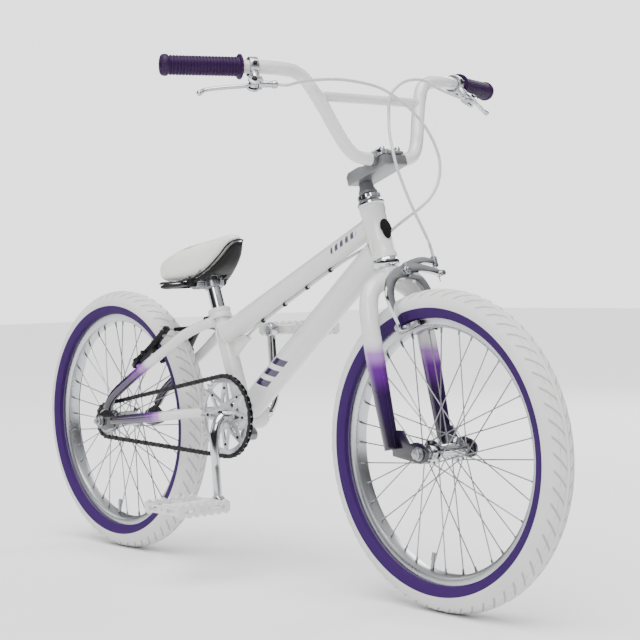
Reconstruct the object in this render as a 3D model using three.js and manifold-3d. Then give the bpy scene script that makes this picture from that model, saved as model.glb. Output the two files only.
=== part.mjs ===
// A 20 inch freestyle bicycle for a child, as an assembly of separate solids.
// Millimetres. +X points forward, +Y to the rider's left, +Z up. The origin is on the ground,
// halfway between the axles. The drive side is -Y.
import * as THREE from "three";
import { mergeVertices } from "three/addons/utils/BufferGeometryUtils.js";
import Module from "manifold-3d";

const wasm = await Module();
wasm.setup();

// ---- driving dimensions ---------------------------------------------------------------------

const WHEELBASE = 900;
const WHEEL_SIDES = 32; // facets round a wheel, with a corner on the ground
const GAP = 0.35; // room between pieces that touch

const TYRE_RADIUS = 257; // 20 x 2.125 on a 406 rim
const TYRE_SECTION = 29; // half the width of the blown-up tyre
const TYRE_WALL = 4;
const RIM_RADIUS = 211;
const RIM_INNER = 196;
const RIM_HALF_WIDTH = 15;
const RIM_WALL = 2.5;
const SPOKES_PER_SIDE = 18;
const SPOKE_RADIUS = 1;
const SPOKE_SPREAD = 2; // half the distance between heads inside and outside a flange
const SPOKE_CROSS = THREE.MathUtils.degToRad(60); // three-cross lacing
const FLANGE_RADIUS = 20;
const HUB_BORE = 5.6;
const AXLE_RADIUS = 5;

const FRONT = { x: WHEELBASE / 2, flange: 28, shoulder: 36, locknut: 51.6, dropout: 52, plate: 5,
  end: 67 };
const REAR = { x: -WHEELBASE / 2, flange: 27, shoulder: 35, locknut: 54.6, dropout: 55, plate: 5,
  end: 74 };

const HEAD_FOOT = new THREE.Vector3(321, 0, 557); // steering axis at the lower headset cup
const HEAD_ANGLE = THREE.MathUtils.degToRad(71.4);
const HEAD_LENGTH = 92;
const HEAD_RADIUS = 20;

const BRACKET = new THREE.Vector3(-62, 0, 287); // bottom bracket centre
const SHELL_RADIUS = 28.5;
const SHELL_HALF = 34;
const SEAT_TUBE_ANGLE = THREE.MathUtils.degToRad(69.3);
const SEAT_TUBE_LENGTH = 205;
const SEAT_TUBE_RADIUS = 15.9;
const SEATPOST_RADIUS = 12.7;
const STAY_RADIUS = 9.5;

const CHAIN_PITCH = 12.7;
const RING_TEETH = 36;
const COG_TEETH = 16;
const CHAIN_LINE = -45;
const CRANK_LENGTH = 152;
// how far the right pedal stands ahead of straight down
const CRANK_TILT = THREE.MathUtils.degToRad(4.5);
const CRANK_ARM_Y = 74;
const PEDAL = { inner: 88, outer: 198, length: 105, height: 25 };

const BAR_RADIUS = 11.1;
const BAR_HALF = 358;
const CROSSBAR_RADIUS = 8;
const GRIP_RADIUS = 15.5;
const GRIP_LENGTH = 128;

const CABLE_RADIUS = 2.5;
const PAD_GAP = 2; // brake shoe to rim
const PAD_LENGTH = 50;
const V_STUD = 31; // shoe stud above its arm's pivot
const LEVER_DROOP = THREE.MathUtils.degToRad(40); // how far the brake levers hang below level

// ---- finishes -------------------------------------------------------------------------------

const finish = (color, roughness, metalness) =>
  new THREE.MeshStandardMaterial({ color, roughness, metalness });
const whitePaint = finish(0xf2f1ee, 0.25, 0);
const fadedPaint = finish(0xe9e2ee, 0.25, 0);
const chrome = finish(0xc9ccd0, 0.12, 1);
const steel = finish(0x9a9ca0, 0.35, 1);
const alloy = finish(0xb9bcc0, 0.3, 1);
const blackSteel = finish(0x1c1c20, 0.4, 0.6);
const blackPlastic = finish(0x17171a, 0.5, 0);
const whiteRubber = finish(0xe6e6e4, 0.75, 0);
const purpleRubber = finish(0x4a2a78, 0.7, 0);
const whitePlastic = finish(0xeeeeec, 0.4, 0);
const whiteCover = finish(0xf3f2ec, 0.5, 0);

// ---- making solids --------------------------------------------------------------------------

const point = (x, y, z) => new THREE.Vector3(x, y, z);
const Y_AXIS = point(0, 1, 0);

// A closed three.js geometry as a solid for joining and cutting.
function solid(geometry) {
  const bare = geometry.index ? geometry.toNonIndexed() : geometry.clone();
  const positions = new THREE.BufferGeometry().setAttribute("position",
    bare.getAttribute("position"));
  const merged = mergeVertices(positions, 1e-4);
  return new wasm.Manifold(
    new wasm.Mesh({
      numProp: 3,
      vertProperties: merged.attributes.position.array,
      triVerts: new Uint32Array(merged.index.array),
    })
  );
}

function geometryOf(made) {
  const mesh = made.getMesh();
  const corners = [];
  for (const i of mesh.triVerts) {
    for (let axis = 0; axis < 3; axis++) corners.push(mesh.vertProperties[i * mesh.numProp + axis]);
  }
  const geometry = new THREE.BufferGeometry();
  geometry.setAttribute("position", new THREE.Float32BufferAttribute(corners, 3));
  geometry.computeVertexNormals();
  return geometry;
}

const largest = (made) => made.decompose().reduce((a, b) => (a.volume() > b.volume() ? a : b));
const join = (...pieces) => pieces.reduce((a, b) => a.add(b));
const cut = (piece, ...tools) => tools.reduce((a, b) => a.subtract(b), piece);

// A round bar or cone from one point to another.
function bar(from, to, radius, endRadius = radius, sides = 16) {
  const along = to.clone().sub(from);
  const geometry = new THREE.CylinderGeometry(endRadius, radius, along.length(), sides);
  geometry.applyQuaternion(new THREE.Quaternion().setFromUnitVectors(Y_AXIS,
  along.clone().normalize()));
  const middle = from.clone().add(to).multiplyScalar(0.5);
  return solid(geometry.translate(middle.x, middle.y, middle.z));
}

function polygon(radius, sides, turn = 0) {
  const corners = [];
  for (let i = 0; i < sides; i++) {
    const angle = turn + (i / sides) * 2 * Math.PI;
    corners.push(new THREE.Vector2(radius * Math.cos(angle), radius * Math.sin(angle)));
  }
  return new THREE.Shape(corners);
}

// A round tube along a curve.
function pipe(curve, radius, sides, steps) {
  return solid(
    new THREE.ExtrudeGeometry(polygon(radius, sides),
    { steps, bevelEnabled: false, extrudePath: curve })
  );
}

const smooth = (points, tension = 0.5) => new THREE.CatmullRomCurve3(points, false, "catmullrom",
  tension);

// Straight runs joined by rounded corners, as a bent tube has.
function bent(points, radius) {
  const path = new THREE.CurvePath();
  let start = points[0];
  for (let i = 1; i < points.length - 1; i++) {
    const corner = points[i];
    const into = corner.clone().lerp(points[i - 1],
      Math.min(0.45, radius / corner.distanceTo(points[i - 1])));
    const out = corner.clone().lerp(points[i + 1],
      Math.min(0.45, radius / corner.distanceTo(points[i + 1])));
    path.add(new THREE.LineCurve3(start, into));
    path.add(new THREE.QuadraticBezierCurve3(into, corner, out));
    start = out;
  }
  path.add(new THREE.LineCurve3(start, points[points.length - 1]));
  return path;
}

// A closed profile of [radius, distance] pairs, in the order that turns its faces outwards.
function facingOut(profile) {
  const points = profile.map(([r, s]) => new THREE.Vector2(r, s));
  return THREE.ShapeUtils.area(points) < 0 ? points.reverse() : points;
}

// A shape turned round the Y axis at a place. The profile is [radius, y] pairs.
function turned(profile, sides, x = 0, z = 0) {
  return solid(new THREE.LatheGeometry(facingOut(profile), sides).translate(x, 0, z));
}

// A shape turned round any axis. The profile is [radius, distance along the axis] pairs.
function turnedOn(profile, sides, foot, axis) {
  const geometry = new THREE.LatheGeometry(facingOut(profile), sides);
  geometry.applyQuaternion(new THREE.Quaternion().setFromUnitVectors(Y_AXIS, axis));
  return solid(geometry.translate(foot.x, foot.y, foot.z));
}

// A flat outline given thickness. Its x runs along across, its y along up, and it is centred on at.
function plate(shape, thickness, at, across, up) {
  const geometry = new THREE.ExtrudeGeometry(shape,
    { depth: thickness, bevelEnabled: false, curveSegments: 8 });
  geometry.translate(0, 0, -thickness / 2);
  const through = across.clone().cross(up);
  const matrix = new THREE.Matrix4().makeBasis(across, up, through).setPosition(at);
  return solid(geometry.applyMatrix4(matrix));
}

function block(width, depth, height, at, across = point(1, 0, 0), up = point(0, 0, 1)) {
  const geometry = new THREE.BoxGeometry(width, height, depth);
  const through = across.clone().cross(up);
  return solid(geometry.applyMatrix4(new THREE.Matrix4().makeBasis(across, up,
    through).setPosition(at)));
}

// A strip of even width along a list of [x, y] points, with square ends.
function strip(points, widths) {
  const left = [];
  const right = [];
  points.forEach(([x, y], i) => {
    const [px, py] = points[Math.max(0, i - 1)];
    const [nx, ny] = points[Math.min(points.length - 1, i + 1)];
    const length = Math.hypot(nx - px, ny - py);
    const half = widths[i] / 2;
    const sx = (-(ny - py) / length) * half;
    const sy = ((nx - px) / length) * half;
    left.push(new THREE.Vector2(x + sx, y + sy));
    right.unshift(new THREE.Vector2(x - sx, y - sy));
  });
  return new THREE.Shape([...right, ...left]);
}

const bike = new THREE.Group();
function add(name, made, material) {
  const mesh = new THREE.Mesh(geometryOf(made), material);
  mesh.name = name;
  bike.add(mesh);
}

// ---- places worked out from the driving dimensions ------------------------------------------

const AXLE_Z = TYRE_RADIUS;
const steer = point(-Math.cos(HEAD_ANGLE), 0, Math.sin(HEAD_ANGLE)); // up the steering axis
const ahead = point(Math.sin(HEAD_ANGLE), 0, Math.cos(HEAD_ANGLE)); // square to it, forward and up
const onSteer = (s, u = 0, y = 0) =>
  HEAD_FOOT.clone().addScaledVector(steer, s).addScaledVector(ahead, u).setY(y);
const seatUp = point(-Math.cos(SEAT_TUBE_ANGLE), 0, Math.sin(SEAT_TUBE_ANGLE));
const onSeatTube = (s) => BRACKET.clone().addScaledVector(seatUp, s);
const seatTop = onSeatTube(SEAT_TUBE_LENGTH);
const SIDES = { right: -1, left: 1 };

// ---- wheels ---------------------------------------------------------------------------------

function tyre(x) {
  const centre = TYRE_RADIUS - TYRE_SECTION;
  const bead = { low: RIM_RADIUS - 7, high: RIM_RADIUS + GAP,
    top: RIM_HALF_WIDTH - RIM_WALL - 0.6 };
  const section = (radius, lowest, steps) => {
    const from = Math.asin((lowest - centre) / radius);
    const arc = [];
    for (let i = 0; i <= steps; i++) {
      const angle = from + (i / steps) * (Math.PI - 2 * from);
      arc.push([centre + radius * Math.sin(angle), radius * Math.cos(angle)]);
    }
    return arc;
  };
  const outer = section(TYRE_SECTION, bead.high + 1, 6);
  const inner = section(TYRE_SECTION - TYRE_WALL, bead.high + 5, 3).reverse();
  const beadLeft = [[bead.high + 2.5, 8.5], [bead.low, 7], [bead.low, bead.top - 1.4],
    [bead.high, bead.top], [bead.high, RIM_HALF_WIDTH + 1]];
  const beadRight = beadLeft.map(([r, y]) => [r, -y]).reverse();
  const profile = [...outer, ...beadRight, ...inner, ...beadLeft];
  return turned([...profile, profile[0]], WHEEL_SIDES, x, AXLE_Z);
}

function rim(x) {
  const wall = RIM_HALF_WIDTH - RIM_WALL;
  const half = [[RIM_RADIUS, RIM_HALF_WIDTH], [RIM_RADIUS, wall], [RIM_RADIUS - 11, wall - 2]];
  const under = [[RIM_INNER, 10], [RIM_INNER + 4, RIM_HALF_WIDTH]];
  const mirror = (list) => list.map(([r, y]) => [r, -y]).reverse();
  const profile = [...half, ...mirror(half), ...mirror(under), ...under];
  return turned([...profile, profile[0]], WHEEL_SIDES, x, AXLE_Z);
}

// One side's spokes, laced three-cross with heads inside and outside the flange in turn. A thin
// ring at the heads makes a side one piece.
function spokes(wheel, side, lead) {
  const hubEnd = FLANGE_RADIUS + 0.8;
  const rimEnd = RIM_INNER * Math.cos(Math.PI / WHEEL_SIDES) - GAP;
  const flange = side * wheel.flange;
  const at = (radius, angle, y) =>
    point(wheel.x + radius * Math.sin(angle), y, AXLE_Z + radius * Math.cos(angle));
  const headRing = [[hubEnd, -SPOKE_SPREAD], [hubEnd + 1, -SPOKE_SPREAD],
    [hubEnd + 1, SPOKE_SPREAD],
    [hubEnd, SPOKE_SPREAD], [hubEnd, -SPOKE_SPREAD]].map(([r, y]) => [r, y + flange]);
  const set = [turned(headRing, SPOKES_PER_SIDE, wheel.x, AXLE_Z)];
  for (let i = 0; i < SPOKES_PER_SIDE; i++) {
    const angle = ((i + lead) / SPOKES_PER_SIDE) * 2 * Math.PI;
    const turn = i % 2 ? -SPOKE_CROSS : SPOKE_CROSS;
    const spread = i % 2 ? -SPOKE_SPREAD : SPOKE_SPREAD;
    const head = at(hubEnd + 0.4, angle + turn, flange + spread);
    set.push(bar(head, at(rimEnd, angle, side * 2.5), SPOKE_RADIUS, SPOKE_RADIUS, 3));
  }
  return join(...set);
}

function hub(wheel, barrel) {
  const { flange, shoulder } = wheel;
  const half = [[HUB_BORE, shoulder], [12, shoulder], [12, flange + 1.5],
    [FLANGE_RADIUS, flange + 1.5],
    [FLANGE_RADIUS, flange - 1.5], [barrel, flange - 4]];
  const mirror = half.map(([r, y]) => [r, -y]).reverse();
  return turned([...mirror, ...half, mirror[0]], 14, wheel.x, AXLE_Z);
}

// The axle with its cones, locknuts and outer nuts, which stays still between the dropouts.
function axle(wheel) {
  const onAxle = (y) => point(wheel.x, y, AXLE_Z);
  const nut = (from, to, radius, sides) => bar(onAxle(from), onAxle(to), radius, radius, sides);
  const pieces = [nut(-wheel.end, wheel.end, AXLE_RADIUS, 8)];
  for (const side of [-1, 1]) {
    const inside = wheel.shoulder + 1;
    const outside = wheel.dropout + wheel.plate + GAP;
    pieces.push(nut(side * inside, side * (inside + 6), 8, 8));
    pieces.push(nut(side * (inside + 5), side * wheel.locknut, 9, 6));
    pieces.push(nut(side * outside, side * (outside + 2), 11, 10));
    pieces.push(nut(side * (outside + 1.5), side * (outside + 9), 9, 6));
  }
  return join(...pieces);
}

for (const [end, wheel, barrel] of [["front", FRONT, 11], ["rear", REAR, 15]]) {
  add(`${end}_tyre`, tyre(wheel.x), whiteRubber);
  add(`${end}_rim`, rim(wheel.x), alloy);
  add(`${end}_spokes_right`, spokes(wheel, -1, 0), steel);
  add(`${end}_spokes_left`, spokes(wheel, 1, 0.5), steel);
  add(`${end}_hub`, hub(wheel, barrel), chrome);
  add(`${end}_axle`, axle(wheel), steel);
}

// ---- frame ----------------------------------------------------------------------------------

const TOP_TUBE = { front: onSteer(69), rear: onSeatTube(153), frontRadius: 16.5, rearRadius: 20 };
const DOWN_TUBE = { front: onSteer(26), rear: BRACKET, radius: 23.5 };

const headProfile = [[HEAD_RADIUS - 4, 0], [HEAD_RADIUS + 1.5, 0], [HEAD_RADIUS, 12],
  [HEAD_RADIUS, HEAD_LENGTH - 12], [HEAD_RADIUS + 1.5, HEAD_LENGTH], [HEAD_RADIUS - 4, HEAD_LENGTH],
  [HEAD_RADIUS - 4, 0]];
const headTube = turnedOn(headProfile, 18, onSteer(5), steer);
const headBore = bar(onSteer(0), onSteer(102), HEAD_RADIUS - 4, HEAD_RADIUS - 4, 18);
const headSolid = join(
  bar(onSteer(0), onSteer(102), HEAD_RADIUS + GAP + 0.3, HEAD_RADIUS + GAP + 0.3, 18),
  bar(onSteer(-30), onSteer(18), HEAD_RADIUS + 3.5, HEAD_RADIUS + 2.5, 18)
);

// The seat tube is open at the top for the seatpost. It is welded to the bracket shell, and a
// gusset stands in front of it, under the top tube.
const shellProfile = [[25.8, -SHELL_HALF], [SHELL_RADIUS, -SHELL_HALF], [SHELL_RADIUS, SHELL_HALF],
  [25.8, SHELL_HALF], [25.8, -SHELL_HALF]];
const shell = turned(shellProfile, 18, BRACKET.x, BRACKET.z);
const shellSolid = bar(point(BRACKET.x, -60, BRACKET.z), point(BRACKET.x, 60, BRACKET.z),
  SHELL_RADIUS + GAP,
  SHELL_RADIUS + GAP, 18);
const shellBore = bar(point(BRACKET.x, -60, BRACKET.z), point(BRACKET.x, 60, BRACKET.z), 25.8,
  25.8, 18);
const lug = bar(point(-51, -12, 251), point(-51, 12, 251), 11, 11, 10);
const seatTubeOuter = bar(onSeatTube(20), seatTop, SEAT_TUBE_RADIUS, SEAT_TUBE_RADIUS, 16);
const seatTubeBore = bar(onSeatTube(30), onSeatTube(SEAT_TUBE_LENGTH + 5), SEATPOST_RADIUS + 0.8,
  SEATPOST_RADIUS + 0.8, 16);
const topTubeSolid = bar(TOP_TUBE.rear, TOP_TUBE.front, TOP_TUBE.rearRadius + GAP,
  TOP_TUBE.frontRadius + GAP, 16);
const gussetShape = new THREE.Shape([new THREE.Vector2(-6, -46), new THREE.Vector2(4, -40),
  new THREE.Vector2(56, 8), new THREE.Vector2(40, 20), new THREE.Vector2(-6, 4)]);
const gusset = plate(gussetShape, 7, onSeatTube(140).add(point(14, 0, 0)), point(1, 0, 0),
  point(0, 0, 1));
const seatTubeWeldment = join(shell, cut(join(seatTubeOuter, lug), shellBore),
  largest(cut(gusset, topTubeSolid)));
add("seat_tube", cut(seatTubeWeldment, seatTubeBore), whitePaint);
const seatTubeSolid = bar(onSeatTube(0), onSeatTube(SEAT_TUBE_LENGTH + 40), SEAT_TUBE_RADIUS + GAP,
  SEAT_TUBE_RADIUS + GAP, 16);

const topTube = bar(TOP_TUBE.rear, TOP_TUBE.front, TOP_TUBE.rearRadius, TOP_TUBE.frontRadius, 16);
add("head_and_top_tube", join(headTube, largest(cut(topTube, headBore, seatTubeSolid))),
  whitePaint);

const downTube = bar(DOWN_TUBE.rear, DOWN_TUBE.front, DOWN_TUBE.radius, DOWN_TUBE.radius, 16);
add("down_tube", largest(cut(downTube, headSolid, shellSolid, seatTubeSolid, topTubeSolid)),
  whitePaint);

const COLLAR = { foot: SEAT_TUBE_LENGTH - 20, height: 19, radius: 21 };
const collarSolid = bar(onSeatTube(COLLAR.foot - 0.5), onSeatTube(SEAT_TUBE_LENGTH + 20),
  COLLAR.radius + 1,
  COLLAR.radius + 1, 16);

// Stays, one chainstay and one seatstay a side, with the dropout on the chainstay.
const dropoutPlate = (side) => {
  const shape = new THREE.Shape();
  shape.moveTo(-16, -10);
  shape.quadraticCurveTo(-20, 12, 0, 17);
  shape.lineTo(22, 26);
  shape.lineTo(46, 12);
  shape.lineTo(46, -9);
  shape.quadraticCurveTo(20, -18, -4, -16);
  shape.quadraticCurveTo(-12, -15, -16, -10);
  const at = point(REAR.x, side * (REAR.dropout + REAR.plate / 2), AXLE_Z);
  const hole = bar(point(REAR.x, side * 50, AXLE_Z), point(REAR.x, side * 70, AXLE_Z),
    AXLE_RADIUS + 0.5,
    AXLE_RADIUS + 0.5, 12);
  return cut(plate(shape, REAR.plate, at, point(1, 0, 0), point(0, 0, 1)), hole);
};

// The rear brake stands on a radius of the wheel, above the seatstay, at this angle.
const V_ANGLE = THREE.MathUtils.degToRad(41);
const vUp = point(Math.cos(V_ANGLE), 0, Math.sin(V_ANGLE));
const vOut = point(-Math.sin(V_ANGLE), 0, Math.cos(V_ANGLE));
const vPlace = (s, n, y) =>
  point(REAR.x, 0, AXLE_Z).addScaledVector(vUp, 172 + s).addScaledVector(vOut, 8 + n).setY(y);

for (const [name, side] of Object.entries(SIDES)) {
  const chainstay = smooth([point(-84, side * 30, 287), point(-138, side * 33.2, 287),
    point(-188, side * 42, 284),
    point(-250, side * 48, 277), point(-330, side * 53, 268), point(-410, side * 57.5, 260)]);
  const plateSolid = dropoutPlate(side);
  const stay = cut(pipe(chainstay, STAY_RADIUS, 8, 7), shellSolid);
  add(`${name}_chainstay`, join(stay, plateSolid), fadedPaint);

  const seatstay = smooth([point(-124, side * 18, 458), point(-180, side * 40, 435),
    point(-250, side * 51, 396),
    point(-330, side * 56, 353), point(-398, side * 59.5, 313), point(-428, side * 60, 283)]);
  const boss = bar(vPlace(0, -14, side * 54), vPlace(0, -5, side * 54), 7, 6, 8);
  const clearOf = [seatTubeSolid, collarSolid, chainstayClear(side), dropoutClear(side),
    topTubeSolid];
  const post = bar(vPlace(0, -7, side * 54), vPlace(0, 6, side * 54), 4.8, 4.8, 8);
  const head = bar(vPlace(0, 5, side * 54), vPlace(0, 9, side * 54), 7.5, 7.5, 6);
  const made = cut(join(pipe(seatstay, STAY_RADIUS, 8, 7), boss, post, head), ...clearOf);
  add(`${name}_seatstay`, largest(made), fadedPaint);
}

function chainstayClear(side) {
  return bar(point(-396, side * 57, 261), point(-412, side * 57.5, 260), STAY_RADIUS + GAP,
    STAY_RADIUS + GAP, 12);
}

function dropoutClear(side) {
  return block(90, REAR.plate + 2 * GAP, 48,
    point(REAR.x + 8, side * (REAR.dropout + REAR.plate / 2), AXLE_Z + 2));
}

// ---- headset, seat collar, bottom bracket cups ----------------------------------------------

const steererRadius = 12.7;
add("headset_lower_cup", turnedOn([[15, 0], [19, 0], [22.5, 6], [22.5, 12], [20.5, 16], [15, 16],
  [15, 0]], 18,
  onSteer(-11.5), steer), chrome);
add("headset_upper_cup", turnedOn([[15, 0], [20.5, 0], [22.5, 3], [22.5, 7], [19.5, 10.5],
  [15, 10.5], [15, 0]], 18,
  onSteer(5 + HEAD_LENGTH + GAP), steer), chrome);
add("headset_locknut", turnedOn([[14, 0], [20, 0], [20, 8], [17, 10], [14, 10], [14, 0]], 12,
  onSteer(5 + HEAD_LENGTH + 11.5), steer), chrome);

const collarRing = turnedOn([[SEAT_TUBE_RADIUS + GAP, 0], [COLLAR.radius, 0],
  [COLLAR.radius, COLLAR.height],
  [SEAT_TUBE_RADIUS + GAP, COLLAR.height], [SEAT_TUBE_RADIUS + GAP, 0]], 16,
  onSeatTube(COLLAR.foot), seatUp);
const collarMiddle = onSeatTube(SEAT_TUBE_LENGTH - 10.5);
const collarBack = point(-Math.sin(SEAT_TUBE_ANGLE), 0, -Math.cos(SEAT_TUBE_ANGLE));
const collarAt = (back, y) => collarMiddle.clone().addScaledVector(collarBack, back).setY(y);
const collarEar = block(14, 17, 17, collarAt(25, 0), point(0, 1, 0), seatUp);
const collarBolt = bar(collarAt(27, -17), collarAt(27, 17), 5, 5, 8);
add("seat_collar", cut(join(collarRing, cut(collarEar, seatTubeSolid), collarBolt), seatTubeSolid),
  whitePaint);

for (const [name, side] of Object.entries(SIDES)) {
  const profile = [[13, 22], [25.4, 22], [25.4, SHELL_HALF + GAP], [27.5, SHELL_HALF + GAP],
    [26, 38], [13, 38],
    [13, 22]].map(([r, y]) => [r, side * y]);
  add(`${name}_bracket_cup`, turned(side > 0 ? profile : profile.reverse(), 16, BRACKET.x,
    BRACKET.z), chrome);
}

// ---- fork -----------------------------------------------------------------------------------

const FORK_TOP = 5 + HEAD_LENGTH + 20;
const crownFoot = onSteer(-12);
const legAt = (s, y) => crownFoot.clone().add(point(0.236, 0, -1).multiplyScalar(s)).setY(y);
function forkLeg(side) {
  const leg = smooth([legAt(6, side * 4), legAt(16, side * 24), legAt(38, side * 47),
    legAt(72, side * 58),
    legAt(130, side * 61), legAt(200, side * 61), legAt(284, side * 60)]);
  return pipe(leg, 15.5, 10, 9);
}
function forkDropout(side) {
  const shape = new THREE.Shape();
  shape.moveTo(-60, -8);
  shape.lineTo(-66, 34);
  shape.lineTo(-38, 34);
  shape.lineTo(-24, 14);
  shape.quadraticCurveTo(0, 20, 14, 10);
  shape.quadraticCurveTo(22, 0, 14, -12);
  shape.quadraticCurveTo(0, -20, -20, -13);
  const at = point(FRONT.x, side * (FRONT.dropout + FRONT.plate / 2), AXLE_Z);
  return plate(shape, FRONT.plate, at, point(1, 0, 0), point(0, 0, 1));
}
const steerer = bar(onSteer(-20), onSteer(FORK_TOP), steererRadius, steererRadius, 14);
const crown = bar(onSteer(-40), onSteer(-12), 17, 19, 14);
const crownCut = bar(onSteer(-12), onSteer(30), 60, 60, 8);
const axleHole = bar(point(FRONT.x, -80, AXLE_Z), point(FRONT.x, 80, AXLE_Z), AXLE_RADIUS + 0.5,
  AXLE_RADIUS + 0.5, 12);
const quillBore = bar(onSteer(20), onSteer(FORK_TOP + 5), 11.4, 11.4, 14);
const legCut = block(80, 200, 60, legAt(290, 0).add(point(0, 0, -30)));
const legs = cut(join(forkLeg(-1), forkLeg(1)), legCut, crownCut);
const caliperBolt = { s: -28, from: 12 };
const boltHole = bar(onSteer(caliperBolt.s, 5), onSteer(caliperBolt.s, 60), 4.4, 4.4, 8);
add("fork", cut(join(steerer, crown, legs, forkDropout(-1), forkDropout(1)), axleHole, quillBore,
  boltHole),
  fadedPaint);

// ---- stem and handlebar ---------------------------------------------------------------------

const BLOCK_FOOT = 140; // distance up the steering axis of the stem's underside
const BAR_AT = { u: 56, w: 18.7 };
const barCentre = onSteer(BLOCK_FOOT + BAR_AT.w, BAR_AT.u);
const barClear = bar(barCentre.clone().setY(-60), barCentre.clone().setY(60), BAR_RADIUS + GAP,
  BAR_RADIUS + GAP, 16);
const stemShape = new THREE.Shape();
stemShape.moveTo(-16, 0);
stemShape.lineTo(80, 0);
stemShape.lineTo(80, BAR_AT.w - 1);
stemShape.lineTo(30, BAR_AT.w - 1);
stemShape.lineTo(16, 21);
stemShape.lineTo(-10, 21);
stemShape.lineTo(-16, 15);
const quill = join(
  bar(onSteer(30), onSteer(BLOCK_FOOT + 4), 11, 11, 14),
  bar(onSteer(FORK_TOP + 2.3), onSteer(BLOCK_FOOT + 1), 16, 12, 14)
);
add("quill_stem", cut(join(plate(stemShape, 50, onSteer(BLOCK_FOOT), ahead, steer), quill),
  barClear), alloy);

const capShape = new THREE.Shape();
capShape.moveTo(-22, 0.8);
capShape.lineTo(22, 0.8);
capShape.lineTo(22, 7);
capShape.lineTo(10, 15);
capShape.lineTo(-10, 15);
capShape.lineTo(-22, 7);
let stemCap = plate(capShape, 48, barCentre, ahead, steer);
for (const u of [-17, 17]) {
  for (const y of [-17, 17]) {
    const foot = onSteer(BLOCK_FOOT + BAR_AT.w + 3, BAR_AT.u + u, y);
    stemCap = join(stemCap, bar(foot, foot.clone().addScaledVector(steer, 12), 4.5, 4.5, 8));
  }
}
add("stem_cap", cut(stemCap, barClear), chrome);

// The handlebar runs from the left grip down through the stem and up to the right grip.
const barAt = (y, rise, back = 0) => barCentre.clone().addScaledVector(steer,
  rise).add(point(back, 0, 0)).setY(y);
const SWEEP = 0.385; // how far back the grips run for each step outwards
const sweepStart = { y: 190, rise: 150, back: 2 };
const gripEnd = { y: BAR_HALF, rise: 150, back: 2 - SWEEP * (BAR_HALF - 190) };
const half = [[58, 0, 0], [80, 22, 0], [112, 104, 0], [136, 146, 0],
  [sweepStart.y, sweepStart.rise, sweepStart.back], [gripEnd.y, gripEnd.rise, gripEnd.back]];
const barPath = bent([
  ...half.map(([y, rise, back]) => barAt(y, rise, back)).reverse(),
  ...half.map(([y, rise, back]) => barAt(-y, rise, back)),
], 34);
const crossbar = bar(barAt(-109, 106), barAt(109, 106), CROSSBAR_RADIUS, CROSSBAR_RADIUS, 10);
add("handlebar", join(pipe(barPath, BAR_RADIUS, 8, 40), crossbar), whitePaint);

function gripAxis(side) {
  const inner = barAt(side * sweepStart.y, sweepStart.rise, sweepStart.back);
  const outer = barAt(side * gripEnd.y, gripEnd.rise, gripEnd.back);
  return { inner, outer, along: outer.clone().sub(inner).normalize() };
}
for (const [name, side] of Object.entries(SIDES)) {
  const { outer, along } = gripAxis(side);
  const foot = outer.clone().addScaledVector(along, 4 - GRIP_LENGTH);
  const bore = BAR_RADIUS + 0.4;
  const profile = [[bore, 0], [20, 0], [20, 4]];
  for (let s = 8; s < GRIP_LENGTH - 12; s += 36) profile.push([GRIP_RADIUS, s],
    [GRIP_RADIUS, s + 30], [14, s + 33]);
  profile.push([17, GRIP_LENGTH - 6], [15, GRIP_LENGTH], [5, GRIP_LENGTH], [5, GRIP_LENGTH - 3.6],
    [bore, GRIP_LENGTH - 3.6], [bore, 0]);
  add(`${name}_grip`, turnedOn(profile, 12, foot, along), purpleRubber);
}

// ---- brake levers ---------------------------------------------------------------------------

// A place near a lever: out along the bar from the clamp, in front of it, and up.
function leverPlace(side) {
  const { outer, along } = gripAxis(side);
  const level = point(0, 0, 1).cross(along).multiplyScalar(-side).normalize();
  const forward = level.clone().applyAxisAngle(along, side * LEVER_DROOP);
  const upward = point(0, 0, 1).applyAxisAngle(along, side * LEVER_DROOP);
  const place = (out, front, up) =>
    outer.clone()
      .addScaledVector(along, out - GRIP_LENGTH - 8)
      .addScaledVector(forward, front)
      .addScaledVector(upward, up);
  return { place, upward };
}

function leverBarrel(side) {
  const { place } = leverPlace(side);
  return { end: place(-38.6, 44, -3), beyond: place(-54, 46, -2) };
}

for (const [name, side] of Object.entries(SIDES)) {
  const { along } = gripAxis(side);
  const { place: lever, upward } = leverPlace(side);
  const clampRing = turnedOn([[BAR_RADIUS + 0.9, 0], [16, 0], [16, 14], [BAR_RADIUS + 0.9, 14],
    [BAR_RADIUS + 0.9, 0]],
    12, lever(-14, 0, 0), along);
  const ringBore = bar(lever(-40, 0, 0), lever(20, 0, 0), BAR_RADIUS + 0.9, BAR_RADIUS + 0.9, 12);
  const neck = bar(lever(-7, 10, 0), lever(-4, 36, -6), 7, 8, 8);
  const knuckle = bar(lever(0, 40, -14), lever(0, 40, 4), 10, 10, 10);
  const barrel = bar(lever(-8, 40, -5), lever(-38, 44, -3), 6, 4.5, 8);
  const slot = block(60, 40, 9.6, lever(16, 40, -5), along, upward);
  const pinSpace = bar(lever(0, 40, -9.8), lever(0, 40, -0.2), 12, 12, 12);
  const bracket = cut(join(clampRing, cut(neck, ringBore), knuckle, barrel), slot, pinSpace);
  const pin = bar(lever(0, 40, -14), lever(0, 40, 4), 2.5, 2.5, 8);
  add(`${name}_lever_bracket`, cut(join(bracket, pin), ringBore), alloy);
  const pivotHole = bar(lever(0, 40, -20), lever(0, 40, 10), 3.1, 3.1, 8);
  const bladePath = smooth([lever(-2, 40, -5), lever(18, 46, -6), lever(48, 42, -12),
    lever(74, 40, -18),
    lever(86, 46, -20)]);
  const blade = pipe(bladePath, 4.2, 8, 8);
  const eye = bar(lever(0, 40, -8.4), lever(0, 40, -1.6), 8, 8, 10);
  add(`${name}_brake_lever`, cut(join(eye, blade), pivotHole), alloy);
}

// ---- front caliper --------------------------------------------------------------------------

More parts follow.
